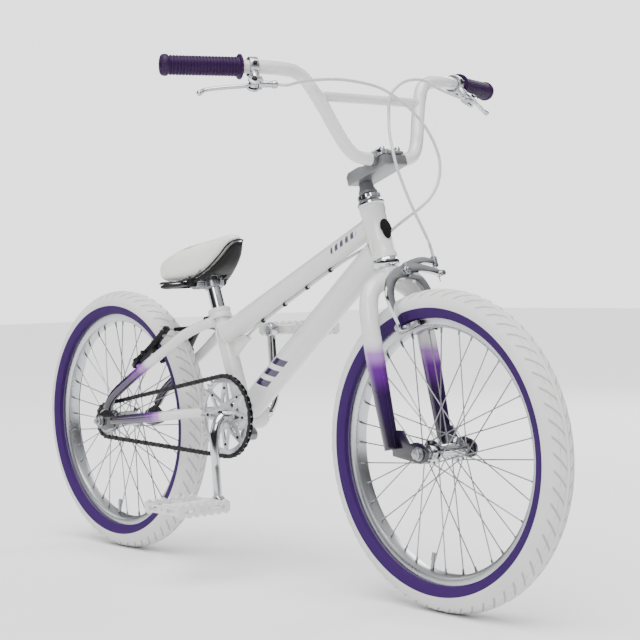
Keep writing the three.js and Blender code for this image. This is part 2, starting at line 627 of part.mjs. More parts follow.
// The bolt stands out of the fork crown. The left arm is behind and carries the cable's stop,
// the right arm is in front of it and carries the anchor.
const CALIPER = { s: caliperBolt.s, reach: 94.5, end: 80, layer: 7.5, rear: 31, front: 39 };
const onCaliper = (rise, u, y) => onSteer(CALIPER.s + rise, u, y);
add("front_brake_bolt", join(
  bar(onCaliper(0, caliperBolt.from, 0), onCaliper(0, 50, 0), 4, 4, 8),
  bar(onCaliper(0, 19.5, 0), onCaliper(0, CALIPER.rear - 4, 0), 9, 8, 10),
  bar(onCaliper(0, 43.2, 0), onCaliper(0, 50, 0), 7.5, 7.5, 6)
), chrome);

const caliperPivot = bar(onCaliper(0, 20, 0), onCaliper(0, 60, 0), 4.5, 4.5, 8);
for (const [name, side] of Object.entries(SIDES)) {
  const u = side > 0 ? CALIPER.rear : CALIPER.front;
  const drop = [[0, 0], [26, -7], [43, -26], [48, -54], [40, -84],
    [38, -100]].map(([y, s]) => [side * y, s]);
  const rise = side > 0
    ? [[0, 0], [18, 12], [50, 20], [CALIPER.end, 16]] : [[0, 0], [20, 5], [50, 2],
    [CALIPER.end, -6]];
  const across = point(0, 1, 0);
  const flat = (shape) => plate(shape, CALIPER.layer, onCaliper(0, u, 0), across, steer);
  const ring = bar(onCaliper(0, u - CALIPER.layer / 2, 0), onCaliper(0, u + CALIPER.layer / 2, 0),
    11, 11, 12);
  const endFrom = side > 0
    ? onCaliper(8, u, CALIPER.end) : onCaliper(-6, u - CALIPER.layer, CALIPER.end);
  const endTo = side > 0
    ? onCaliper(27, u, CALIPER.end) : onCaliper(-6, u + CALIPER.layer, CALIPER.end);
  const studHole = bar(onCaliper(-CALIPER.reach, u, side * 20),
    onCaliper(-CALIPER.reach, u, side * 60), 3.1, 3.1, 10);
  const arm = join(flat(strip(drop, [22, 17, 15, 13, 12, 11])), flat(strip(rise, [18, 13, 10, 8])),
    ring,
    bar(endFrom, endTo, 5, 5, 10));
  add(`front_brake_arm_${name}`, cut(arm, caliperPivot, studHole), chrome);
  const onStud = (y) => onCaliper(-CALIPER.reach, u, side * y);
  const face = RIM_HALF_WIDTH + PAD_GAP;
  const shoe = block(9, PAD_LENGTH, 8.5, onStud(face + 4.5), across, steer);
  add(`front_brake_shoe_${name}`, join(shoe, bar(onStud(24), onStud(51), 2.8, 2.8, 10),
    bar(onStud(46.5), onStud(51), 5.5, 5.5, 6)), blackPlastic);
}

// ---- rear linear-pull brake -----------------------------------------------------------------

for (const [name, side] of Object.entries(SIDES)) {
  const line = [[54, -11], [54, 0], [50, 16], [46, 34], [41, 70],
    [38, 104]].map(([y, s]) => [side * y, s]);
  const across = point(0, 1, 0);
  const arm = plate(strip(line, [12, 20, 15, 13, 11, 11]), 9, vPlace(0, 0, 0), across, vUp);
  const pivot = bar(vPlace(0, -20, side * 54), vPlace(0, 20, side * 54), 5.2, 5.2, 12);
  const studHole = bar(vPlace(V_STUD, 0, side * 20), vPlace(V_STUD, 0, side * 70), 3.1, 3.1, 10);
  const wireHole = bar(vPlace(98, 0, side * 25), vPlace(98, 0, side * 55), 3.5, 3.5, 10);
  const clampBolt = bar(vPlace(88, -7, side * 39.5), vPlace(88, 7, side * 39.5), 4.5, 4.5, 8);
  const extra = side < 0 ? [clampBolt] : [];
  add(`rear_brake_arm_${name}`, cut(join(arm, ...extra), pivot, studHole, wireHole), blackSteel);
  const onStud = (y) => vPlace(V_STUD, 0, side * y);
  const face = RIM_HALF_WIDTH + PAD_GAP;
  const shoe = block(9, PAD_LENGTH, 8.5, onStud(face + 4.5), across, vUp);
  add(`rear_brake_shoe_${name}`, join(shoe, bar(onStud(24), onStud(61), 2.8, 2.8, 8),
    bar(onStud(56), onStud(61), 5.5, 5.5, 6)), blackPlastic);
}

// The noodle brings the cable through the top of the left arm, and its boot covers the wire.
const noodleEnd = vPlace(98, 0, 36);
const noodlePath = smooth([[42, 27, -10], [28, 29, -5], [12, 26, -1], [2, 17, 0], [0, 9, 0],
  [0, 0, 0], [0, -8, 0]].map(
  ([x, y, z]) => noodleEnd.clone().add(point(x, y, z))));
const boot = bar(vPlace(98, 0, 31), vPlace(98, 0, -18), 5.5, 4, 10);
add("rear_brake_noodle", join(pipe(noodlePath, 2.6, 8, 14), boot), blackPlastic);

// ---- cables ---------------------------------------------------------------------------------

const cable = (points, steps) => pipe(smooth(points), CABLE_RADIUS, 5, steps);
const rightBarrel = leverBarrel(-1);
const leftBarrel = leverBarrel(1);
add("front_brake_cable", cable([leftBarrel.end, leftBarrel.beyond, point(304, 150, 850),
  point(304, 110, 863),
  point(304, 70, 859), point(303, 42, 842), point(305, 30, 822), point(308, 26, 800),
  point(320, 15, 775),
  point(347, -5, 745), point(359, -9, 717), point(365, -3, 690), point(372, 13, 647),
  point(374, 38, 605),
  onCaliper(48, CALIPER.rear + 3, CALIPER.end - 4), onCaliper(27.5, CALIPER.rear, CALIPER.end)],
  36), whitePlastic);

const underTopTube = (x, y, drop = 3.2) => {
  const t = (x - TOP_TUBE.rear.x) / (TOP_TUBE.front.x - TOP_TUBE.rear.x);
  const centre = TOP_TUBE.rear.z + t * (TOP_TUBE.front.z - TOP_TUBE.rear.z);
  const radius = TOP_TUBE.rearRadius + t * (TOP_TUBE.frontRadius - TOP_TUBE.rearRadius);
  return point(x, y, centre - radius * 1.1 - drop);
};
const rearCablePoints = [rightBarrel.end, rightBarrel.beyond, point(308, -150, 846),
  point(309, -80, 852),
  point(312, -10, 846), point(317, 28, 832), point(326, 60, 809), point(338, 80, 781),
  point(352, 90, 747),
  point(361, 90, 716), point(365, 80, 686), point(366, 60, 661), point(356, 41, 642),
  point(338, 31, 628),
  point(312, 27, 612), point(286, 26, 597), point(258, 17, 583), underTopTube(224, 4),
  underTopTube(161, 0),
  underTopTube(99, 0), underTopTube(37, 0), underTopTube(-20, 3), underTopTube(-64, 12),
  point(-96, 22, 412),
  point(-122, 26, 410), point(-160, 40, 417), noodleEnd.clone().add(point(56, 22, -16)),
  noodleEnd.clone().add(point(43.2, 27, -10.6))];
add("rear_brake_cable", cable(rearCablePoints, 52), whitePlastic);

// ---- cranks, chainring, pedals --------------------------------------------------------------

const armDown = point(Math.sin(CRANK_TILT), 0, -Math.cos(CRANK_TILT));
const onCrank = (reach, y) => BRACKET.clone().addScaledVector(armDown, reach).setY(y);
const crankArm = (side) => {
  const away = side < 0 ? 1 : -1;
  const line = smooth([onCrank(0, side * 46), onCrank(away * 6, side * 58),
    onCrank(away * 24, side * 69),
    onCrank(away * 50, side * 73), onCrank(away * 90, side * CRANK_ARM_Y),
    onCrank(away * CRANK_LENGTH, side * CRANK_ARM_Y)]);
  const eye = onCrank(away * CRANK_LENGTH, 0);
  const across = (y) => eye.clone().setY(side * y);
  return join(pipe(line, 8, 8, 8), bar(across(67), across(81), 13, 13, 14));
};
const onSpindle = (y) => point(BRACKET.x, y, BRACKET.z);
const pedalEyes = [-1, 1].map((side) => {
  const eye = onCrank(side < 0 ? CRANK_LENGTH : -CRANK_LENGTH, 0);
  return bar(eye.clone().setY(side * 60), eye.clone().setY(side * 90), 6.6, 6.6, 10);
});
add("crank", cut(join(bar(onSpindle(-57), onSpindle(57), 11, 11, 14), crankArm(-1), crankArm(1),
  bar(onSpindle(-43), onSpindle(-38.5), 16, 16, 12),
  bar(onSpindle(38.5), onSpindle(45), 17, 17, 6)), ...pedalEyes),
chrome);

const pitchRadius = (teeth) => CHAIN_PITCH / (2 * Math.sin(Math.PI / teeth));
function toothed(teeth, bore, boreSides) {
  const pitch = pitchRadius(teeth);
  const outline = [];
  for (let i = 0; i < teeth * 2; i++) {
    const angle = ((i + 0.5) / teeth) * Math.PI;
    const radius = pitch + (i % 2 ? 2.6 : -3.6);
    outline.push(new THREE.Vector2(radius * Math.cos(angle), radius * Math.sin(angle)));
  }
  const shape = new THREE.Shape(outline);
  shape.holes.push(new THREE.Path(polygon(bore, boreSides).getPoints().reverse()));
  return shape;
}
const ring = toothed(RING_TEETH, 11.7, 14);
const WINDOWS = 6;
for (let i = 0; i < WINDOWS; i++) {
  const at = (radius, share) => {
    const angle = ((i + share) / WINDOWS) * 2 * Math.PI;
    return new THREE.Vector2(radius * Math.cos(angle), radius * Math.sin(angle));
  };
  ring.holes.push(new THREE.Path([at(60, 0.12), at(60, 0.5), at(60, 0.88), at(34, 0.6),
  at(34, 0.4)]));
}
const inPlane = [point(1, 0, 0), point(0, 0, 1)];
add("chainring", plate(ring, 3, point(BRACKET.x, CHAIN_LINE, BRACKET.z), ...inPlane), alloy);

const freewheelProfile = [[10, -50.5], [24, -50.5], [26, -48], [26, -42], [22, -36.5], [10, -36.5],
  [10, -50.5]];
add("freewheel_cog", join(turned(freewheelProfile, 14, REAR.x, AXLE_Z),
  plate(toothed(COG_TEETH, 18, 8), 3, point(REAR.x, CHAIN_LINE, AXLE_Z), ...inPlane)), steel);

// The chain is one closed channel that the teeth run inside.
function chainOutline(offset) {
  const big = pitchRadius(RING_TEETH) + offset;
  const small = pitchRadius(COG_TEETH) + offset;
  const run = new THREE.Vector2(BRACKET.x - REAR.x, BRACKET.z - AXLE_Z);
  const lean = Math.acos((big - small) / run.length());
  const heading = Math.atan2(run.y, run.x);
  const outline = [];
  const arc = (x, z, radius, from, to, steps) => {
    for (let i = 0; i <= steps; i++) {
      const angle = heading + from + ((to - from) * i) / steps;
      outline.push(new THREE.Vector2(x + radius * Math.cos(angle), z + radius * Math.sin(angle)));
    }
  };
  arc(BRACKET.x, BRACKET.z, big, lean - Math.PI, Math.PI - lean, 18);
  arc(REAR.x, AXLE_Z, small, Math.PI - lean, Math.PI + lean, 9);
  return outline;
}
const chainBand = new THREE.Shape(chainOutline(4.8));
chainBand.holes.push(new THREE.Path(chainOutline(-4.2).reverse()));
const chainAt = point(0, CHAIN_LINE, 0);
const toothSpace = plate(new THREE.Shape(chainOutline(4)), 3.8, chainAt, ...inPlane);
add("chain", cut(plate(chainBand, 8, chainAt, ...inPlane), toothSpace), blackSteel);

for (const [name, side] of Object.entries(SIDES)) {
  const eye = onCrank(side < 0 ? CRANK_LENGTH : -CRANK_LENGTH, 0);
  const across = (y) => eye.clone().setY(side * y);
  add(`${name}_pedal_spindle`, join(bar(across(66), across(83), 6.2, 6.2, 8),
    bar(across(82.4), across(87), 9, 9, 6),
    bar(across(85), across(PEDAL.outer - 6), 4.5, 4.5, 8)), steel);
  const teeth = 6;
  const outline = [];
  const width = PEDAL.outer - PEDAL.inner;
  for (let i = 0; i <= teeth * 2; i++) {
    const up = PEDAL.height / 2 - (i % 2 ? 0 : 4);
    outline.push(new THREE.Vector2(-width / 2 + (i / (teeth * 2)) * width, up));
  }
  for (const corner of outline.slice().reverse()) outline.push(new THREE.Vector2(corner.x,
    -corner.y));
  const cage = (x) => plate(new THREE.Shape(outline), 7,
    eye.clone().setY((side * (PEDAL.inner + PEDAL.outer)) / 2).add(point(x, 0, 0)), point(0, 1, 0),
    point(0, 0, 1));
  const reach = PEDAL.length / 2 - 3.5;
  const rib = (y, wide) => block(PEDAL.length - 8, wide, 15, across(y));
  const barrel = bar(across(PEDAL.inner), across(PEDAL.outer), 9.5, 9.5, 10);
  const bore = bar(across(PEDAL.inner - 5), across(PEDAL.outer - 4), 5, 5, 10);
  add(`${name}_pedal`, cut(join(cage(-reach), cage(reach), rib(PEDAL.inner + 3, 6),
    rib(PEDAL.outer - 3, 6),
    rib((PEDAL.inner + PEDAL.outer) / 2, 5), barrel), bore), whitePlastic);
}

// ---- seatpost and saddle --------------------------------------------------------------------

const POST_TOP = 270;
add("seatpost", join(bar(onSeatTube(90), onSeatTube(245), SEATPOST_RADIUS, SEATPOST_RADIUS, 16),
  bar(onSeatTube(240), onSeatTube(POST_TOP), 11.1, 11.1, 14)), chrome);
const clampHeart = onSeatTube(256);
const clampBolt = clampHeart.clone().add(point(-17, 0, 3));
const onClamp = (y) => clampBolt.clone().setY(y);
const postBore = bar(onSeatTube(200), onSeatTube(300), 11.7, 11.7, 14);
add("saddle_clamp", cut(join(bar(onSeatTube(246.5), onSeatTube(266), 16, 16, 14),
  bar(onClamp(-15), onClamp(15), 13, 13, 12),
  bar(onClamp(-42), onClamp(42), 4.5, 4.5, 8), bar(onClamp(-42), onClamp(-33), 8.5, 8.5, 10),
  bar(onClamp(33), onClamp(42), 8.5, 8.5, 10)), postBore), steel);

// Heights and half-widths along the saddle, from tail to nose.
const SADDLE = {
  x: [-284, -255, -200, -160, -130, -100, -80, -65],
  top: [556, 578, 595, 603, 608, 616, 619, 611],
  seam: [529, 526, 529, 535, 550, 577, 600, 606],
  under: [519, 515, 520, 526, 541, 556, 573, 598],
  half: [30, 54, 53, 42, 34, 25, 20, 10],
};
function along(values, x) {
  let i = 0;
  while (i < SADDLE.x.length - 2 && x > SADDLE.x[i + 1]) i++;
  const t = THREE.MathUtils.clamp((x - SADDLE.x[i]) / (SADDLE.x[i + 1] - SADDLE.x[i]), 0, 1);
  return THREE.MathUtils.lerp(values[i], values[i + 1], t);
}
// A ball drawn out between a lower and an upper line.
function pod(upper, lower, shrink) {
  const geometry = new THREE.SphereGeometry(1, 16, 10);
  geometry.rotateZ(Math.PI / 2);
  const at = geometry.getAttribute("position");
  const middle = (SADDLE.x[0] + SADDLE.x[SADDLE.x.length - 1]) / 2;
  const reach = middle - SADDLE.x[0] - shrink;
  const fuller = (v) => Math.sign(v) * Math.min(1, Math.abs(v) ** 0.62);
  for (let i = 0; i < at.count; i++) {
    const [sx, sy, sz] = [at.getX(i), at.getY(i), at.getZ(i)];
    const girth = Math.hypot(sy, sz);
    const x = middle + reach * Math.sign(sx) * Math.max(0, 1 - girth ** 2.2) ** 0.62;
    const [high, low, half] = [along(upper, x), along(lower, x), along(SADDLE.half, x) - shrink];
    const ringSize = girth > 0 ? girth ** 0.35 / girth : 0;
    const y = half * fuller(sy * ringSize);
    const z = (high + low) / 2 + ((high - low) / 2) * fuller(sz * ringSize);
    at.setXYZ(i, x, y, z);
  }
  return solid(geometry);
}
const channel = block(118, 64, 60, point(-205, 0, 526));
const railPoints = [[-268, 24, 549], [-250, 24, 545], [-215, 24, 540], [-175, 24, 539],
  [-150, 23, 541], [-128, 17, 550],
  [-112, 9, 562]];
const railPath = smooth([...railPoints.map(([x, y, z]) => point(x, y, z)), point(-107, 0, 565),
  ...railPoints.map(([x, y, z]) => point(x, -y, z)).reverse()]);
const rails = pipe(railPath, 3.5, 6, 26);
const railSpace = join(pipe(railPath, 4.3, 6, 26),
  bar(point(-271, 24, 549.6), point(-264, 24, 548.2), 4.6, 4.6, 6),
  bar(point(-271, -24, 549.6), point(-264, -24, 548.2), 4.6, 4.6, 6));
const ears = [-1, 1].map((side) => bar(onClamp(side * 16), onClamp(side * 31), 14, 14, 10));
const earBore = bar(onClamp(-45), onClamp(45), 5, 5, 8);
add("saddle_rails", cut(join(rails, ...ears), earBore), steel);
const seamDown = SADDLE.seam.map((z) => z - 0.5);
const boltSpace = bar(onClamp(-60), onClamp(60), 10.5, 10.5, 12);
add("saddle_cover", cut(pod(SADDLE.top, SADDLE.seam, 0), channel, railSpace, boltSpace),
  whiteCover);
const postSpace = bar(onSeatTube(230), onSeatTube(290), 20, 20, 14);
const saddleShell = pod(seamDown, SADDLE.under, 1.5);
add("saddle_base", largest(cut(saddleShell, channel, railSpace, boltSpace, postSpace)),
  blackPlastic);

export default bike;
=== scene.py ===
"""The looks of a 20 inch freestyle bicycle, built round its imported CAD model.

+X points forward, +Y to the rider's left, +Z up. Shapes are laid out in millimetres and stored
in metres. The frame, the wheels, the drive train, the brakes and the saddle are each made by an
operator, and a panel in the 3D view's sidebar lists them.
"""

import math

import bmesh
import bpy
from mathutils import Matrix, Vector
from mathutils.geometry import tessellate_polygon


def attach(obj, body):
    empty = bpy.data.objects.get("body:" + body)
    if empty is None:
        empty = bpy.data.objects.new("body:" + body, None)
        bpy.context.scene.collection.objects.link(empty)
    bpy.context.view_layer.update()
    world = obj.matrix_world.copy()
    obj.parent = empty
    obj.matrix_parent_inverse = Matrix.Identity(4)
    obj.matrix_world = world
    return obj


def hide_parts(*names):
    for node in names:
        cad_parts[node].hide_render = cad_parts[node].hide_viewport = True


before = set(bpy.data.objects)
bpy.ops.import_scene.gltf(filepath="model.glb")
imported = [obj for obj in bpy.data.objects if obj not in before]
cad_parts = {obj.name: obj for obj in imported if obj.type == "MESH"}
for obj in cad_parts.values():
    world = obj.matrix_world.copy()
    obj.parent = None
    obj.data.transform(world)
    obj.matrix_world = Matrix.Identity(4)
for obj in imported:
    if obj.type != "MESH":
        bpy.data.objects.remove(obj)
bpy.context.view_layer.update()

bl_info = {
    "name": "Freestyle bicycle",
    "version": (1, 0, 0),
    "blender": (4, 5, 0),
    "location": "3D View > Sidebar > Bicycle",
    "description": "Builds the visible pieces of a 20 inch freestyle bicycle",
    "category": "Object",
}

# ---- sizes, in millimetres ---------------------------------------------------------------------

MM = 0.001
TAU = 2 * math.pi
X_AXIS = Vector((1, 0, 0))
Y_AXIS = Vector((0, 1, 0))
Z_AXIS = Vector((0, 0, 1))
SIDES = {"right": -1, "left": 1}

AXLE_Z = 257
TYRE_CENTRE = 228
TYRE_SECTION = 29
RIM_RADIUS = 211
RIM_INNER = 196
RIM_HALF_WIDTH = 15
SPOKES_PER_SIDE = 18
SPOKE_CROSS = math.radians(60)
FLANGE_RADIUS = 20
FRONT = dict(x=450, flange=28, shoulder=36, locknut=51.6, dropout=52, end=67, barrel=11)
REAR = dict(x=-450, flange=27, shoulder=35, locknut=54.6, dropout=55, end=74, barrel=15)
DROPOUT_PLATE = 5

HEAD_FOOT = Vector((321, 0, 557))
HEAD_ANGLE = math.radians(71.4)
HEAD_LENGTH = 92
HEAD_RADIUS = 20
BRACKET = Vector((-62, 0, 287))
SHELL_RADIUS = 28.5
SHELL_HALF = 34
SEAT_TUBE_ANGLE = math.radians(69.3)
SEAT_TUBE_LENGTH = 205
SEAT_TUBE_RADIUS = 15.9
SEATPOST_RADIUS = 12.7
STAY_RADIUS = 9.5

CHAIN_PITCH = 12.7
RING_TEETH = 36
COG_TEETH = 16
CHAIN_LINE = -45
CRANK_LENGTH = 152
CRANK_TILT = math.radians(4.5)
CRANK_ARM_Y = 74
PEDAL_INNER = 88
PEDAL_OUTER = 198
PEDAL_LENGTH = 105

BAR_RADIUS = 11.1
BAR_HALF = 358
CROSSBAR_RADIUS = 8
GRIP_LENGTH = 128
CABLE_RADIUS = 2.5
PAD_GAP = 2

STEER = Vector((-math.cos(HEAD_ANGLE), 0, math.sin(HEAD_ANGLE)))
AHEAD = Vector((math.sin(HEAD_ANGLE), 0, math.cos(HEAD_ANGLE)))
SEAT_UP = Vector((-math.cos(SEAT_TUBE_ANGLE), 0, math.sin(SEAT_TUBE_ANGLE)))
V_ANGLE = math.radians(41)
V_UP = Vector((math.cos(V_ANGLE), 0, math.sin(V_ANGLE)))
V_OUT = Vector((-math.sin(V_ANGLE), 0, math.cos(V_ANGLE)))
CRANK_DOWN = Vector((math.sin(CRANK_TILT), 0, -math.cos(CRANK_TILT)))


def with_y(place, y):
    return Vector((place.x, y, place.z))


def on_steer(s, u=0, y=0):
    return with_y(HEAD_FOOT + STEER * s + AHEAD * u, y)


def on_seat_tube(s, back=0, y=0):
    behind = Vector((-math.sin(SEAT_TUBE_ANGLE), 0, -math.cos(SEAT_TUBE_ANGLE)))
    return with_y(BRACKET + SEAT_UP * s + behind * back, y)


def v_place(s, n, y):
    return with_y(Vector((REAR["x"], 0, AXLE_Z)) + V_UP * (172 + s) + V_OUT * (8 + n), y)


def on_crank(reach, y):
    return with_y(BRACKET + CRANK_DOWN * reach, y)


TOP_FRONT = on_steer(69)
TOP_REAR = on_seat_tube(153)
DOWN_FRONT = on_steer(26)


# ---- making meshes -----------------------------------------------------------------------------


def turn_basis(direction):
    """Two directions square to a third."""
    helper = Z_AXIS if abs(direction.z) < 0.9 else X_AXIS
    first = direction.cross(helper).normalized()
    return first, direction.cross(first).normalized()


def curve_through(points, steps):
    """Points spaced along a smooth curve through the given ones."""
    points = [Vector(p) for p in points]
    ends = [points[0] * 2 - points[1]] + points + [points[-1] * 2 - points[-2]]
    fine = []
    per = 24
    for i in range(len(points) - 1):
        a, b, c, d = ends[i : i + 4]
        for k in range(per):
            t = k / per
            fine.append(
                (
                    b * 2
                    + (c - a) * t
                    + (a * 2 - b * 5 + c * 4 - d) * t**2
                    + (b * 3 - a - c * 3 + d) * t**3
                )
                * 0.5
            )
    fine.append(points[-1])
    return spaced(fine, steps)


def spaced(points, steps):
    """The same line with evenly spaced points."""
    marks = [0.0]
    for a, b in zip(points, points[1:]):
        marks.append(marks[-1] + (b - a).length)
    result = []
    i = 0
    for k in range(steps + 1):
        target = marks[-1] * k / steps
        while i < len(points) - 2 and marks[i + 1] < target:
            i += 1
        span = max(marks[i + 1] - marks[i], 1e-9)
        result.append(points[i].lerp(points[i + 1], min(1, (target - marks[i]) / span)))
    return result


def bent(points, radius, corner_steps=8):
    """Straight runs joined by rounded corners, as a bent tube has."""
    points = [Vector(p) for p in points]
    path = [points[0]]
    for before, corner, after in zip(points, points[1:], points[2:]):
        into = corner.lerp(before, min(0.45, radius / (before - corner).length))
        out = corner.lerp(after, min(0.45, radius / (after - corner).length))
        for k in range(corner_steps + 1):
            t = k / corner_steps
            path.append(into.lerp(corner, t).lerp(corner.lerp(out, t), t))
    path.append(points[-1])
    return path


class Form:
    """Gathers the closed shells of one piece, in millimetres."""

    def __init__(self):
        self.vertices = []
        self.faces = []

    def skin(self, rings, looped=False):
        first = len(self.vertices)
        count = len(rings[0])
        for ring in rings:
            self.vertices.extend(ring)
        total = len(rings)
        for i in range(total if looped else total - 1):
            j = (i + 1) % total
            for k in range(count):
                l = (k + 1) % count
                self.faces.append(
                    (first + i * count + k, first + i * count + l, first + j * count + l,
                    first + j * count + k)
                )
        if not looped:
            self.faces.append(tuple(first + k for k in reversed(range(count))))
            self.faces.append(tuple(first + (total - 1) * count + k for k in range(count)))
        return self

    def tube(self, path, radius, sides=20, looped=False, flat=1.0):
        """A round tube along a path. The radius may be a function of the share of the way along."""
        rings = []
        direction = (path[1] - path[0]).normalized()
        first, _ = turn_basis(direction)
        total = len(path)
        for i, place in enumerate(path):
            before = path[i - 1] if i or looped else place
            after = path[(i + 1) % total] if i < total - 1 or looped else place
            direction = (after - before).normalized()
            first = (first - direction * first.dot(direction)).normalized()
            second = direction.cross(first)
            size = radius(i / (total - 1)) if callable(radius) else radius
            rings.append(
                [
                    place + (first * math.cos(a) + second * math.sin(a) * flat) * size
                    for a in (TAU * k / sides for k in range(sides))
                ]
            )
        return self.skin(rings, looped)

    def bar(self, start, end, radius, end_radius=None, sides=32):
        last = radius if end_radius is None else end_radius
        return self.tube([Vector(start), Vector(end)], lambda t: radius + (last - radius) * t, sides)

    def lathe(self, profile, foot, axis, sides=48, shape=None):
        """A closed profile of (radius, distance) pairs turned round an axis."""
        first, second = turn_basis(axis)
        rings = []
        for k in range(sides):
            angle = TAU * k / sides
            out = first * math.cos(angle) + second * math.sin(angle)
            ring = []
            for radius, along in profile:
                r = radius + (shape(angle, radius, along) if shape else 0)
                ring.append(foot + out * r + axis * along)
            rings.append(ring)
        return self.skin(rings, looped=True)

    def plate(self, outline, thickness, at, across, up, holes=()):
        """A flat outline given thickness, centred on a place, with holes through it."""
        through = across.cross(up)
        loops = [[Vector((x, y, 0)) for x, y in loop] for loop in [outline, *holes]]
        faces = tessellate_polygon(loops)
        flat = [p for loop in loops for p in loop]
        first = len(self.vertices)
        count = len(flat)
        for side in (-0.5, 0.5):
            for p in flat:
                self.vertices.append(at + across * p.x + up * p.y + through * thickness * side)
        for a, b, c in faces:
            self.faces.append((first + a, first + b, first + c))
            self.faces.append((first + count + c, first + count + b, first + count + a))
        start = 0
        for loop in loops:
            for k in range(len(loop)):
                a = first + start + k
                b = first + start + (k + 1) % len(loop)
                self.faces.append((a, b, b + count, a + count))
            start += len(loop)
        return self

    def block(self, width, depth, height, at, across=X_AXIS, up=Z_AXIS):
        outline = [(-width / 2, -height / 2), (width / 2, -height / 2), (width / 2, height / 2),
            (-width / 2, height / 2)]
        return self.plate(outline, depth, at, across, up)

    def hexagon(self, start, end, radius, chamfer=0.8):
        """A six-sided nut or bolt head with chamfered corners."""
        start, end = Vector(start), Vector(end)
        run = (end - start).normalized()
        path = [start, start + run * chamfer, end - run * chamfer, end]
        return self.tube(path, lambda t: radius * (0.92 if t in (0, 1) else 1.0), 6)

    def ball(self, at, radius, sides=16):
        steps = sides // 2
        rings = []
        for i in range(1, steps):
            angle = math.pi * i / steps
            rings.append(
                [
                    at
                    + Vector((math.sin(angle) * math.cos(a), math.sin(angle) * math.sin(a),
                    -math.cos(angle))) * radius
                    for a in (TAU * k / sides for k in range(sides))
                ]
            )
        return self.skin(rings)


def bevel_edges(mesh, width, limit):
    edges = [
        e
        for e in mesh.edges
        if len(e.link_faces) == 2 and e.calc_face_angle(0) > limit and e.calc_length() > width * 1.2
    ]
    bmesh.ops.bevel(
        mesh, geom=edges, offset=width, segments=2, profile=0.6, affect="EDGES", clamp_overlap=True
    )


def make(name, form, body, coat, replaced=(), bevel=0.0, smooth_limit=38):
    """Turns a gathered form into a finished piece on its body."""
    mesh = bmesh.new()
    corners = [mesh.verts.new(v * MM) for v in form.vertices]
    for face in form.faces:
        try:
            mesh.faces.new([corners[i] for i in face])
        except ValueError:
            continue
    bmesh.ops.remove_doubles(mesh, verts=mesh.verts, dist=1e-6)
    bmesh.ops.dissolve_degenerate(mesh, edges=mesh.edges, dist=1e-6)
    bmesh.ops.recalc_face_normals(mesh, faces=mesh.faces)
    if bevel:
        bevel_edges(mesh, bevel * MM, math.radians(30))
    data = bpy.data.meshes.new(name)
    mesh.to_mesh(data)
    mesh.free()
    for polygon in data.polygons:
        polygon.use_smooth = True
    data.set_sharp_from_angle(angle=math.radians(smooth_limit))
    piece = bpy.data.objects.new(name, data)
    bpy.context.scene.collection.objects.link(piece)
    data.materials.append(finish(coat))
    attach(piece, body)
    if replaced:
        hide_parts(*replaced)
    return piece


def weld_bead(form, start, end, radius, other_foot, other_axis, other_radius, steps=64):
    """A rippled bead where one tube meets another's side."""
    direction = (end - start).normalized()
    first, second = turn_basis(direction)
    ring = []
    for k in range(steps):
        angle = TAU * k / steps
        line = start + (first * math.cos(angle) + second * math.sin(angle)) * radius
        relative = line - other_foot
        across = relative - other_axis * relative.dot(other_axis)
        heading = direction - other_axis * direction.dot(other_axis)
        a = heading.dot(heading)
        b = 2 * across.dot(heading)
        c = across.dot(across) - other_radius**2
        root = math.sqrt(max(b * b - 4 * a * c, 0))
        ring.append(line + direction * ((-b - root) / (2 * a)))
    form.tube(ring, lambda t: 2.1 + 0.35 * math.sin(t * steps * 2.1), 8, looped=True)


# ---- finishes ----------------------------------------------------------------------------------

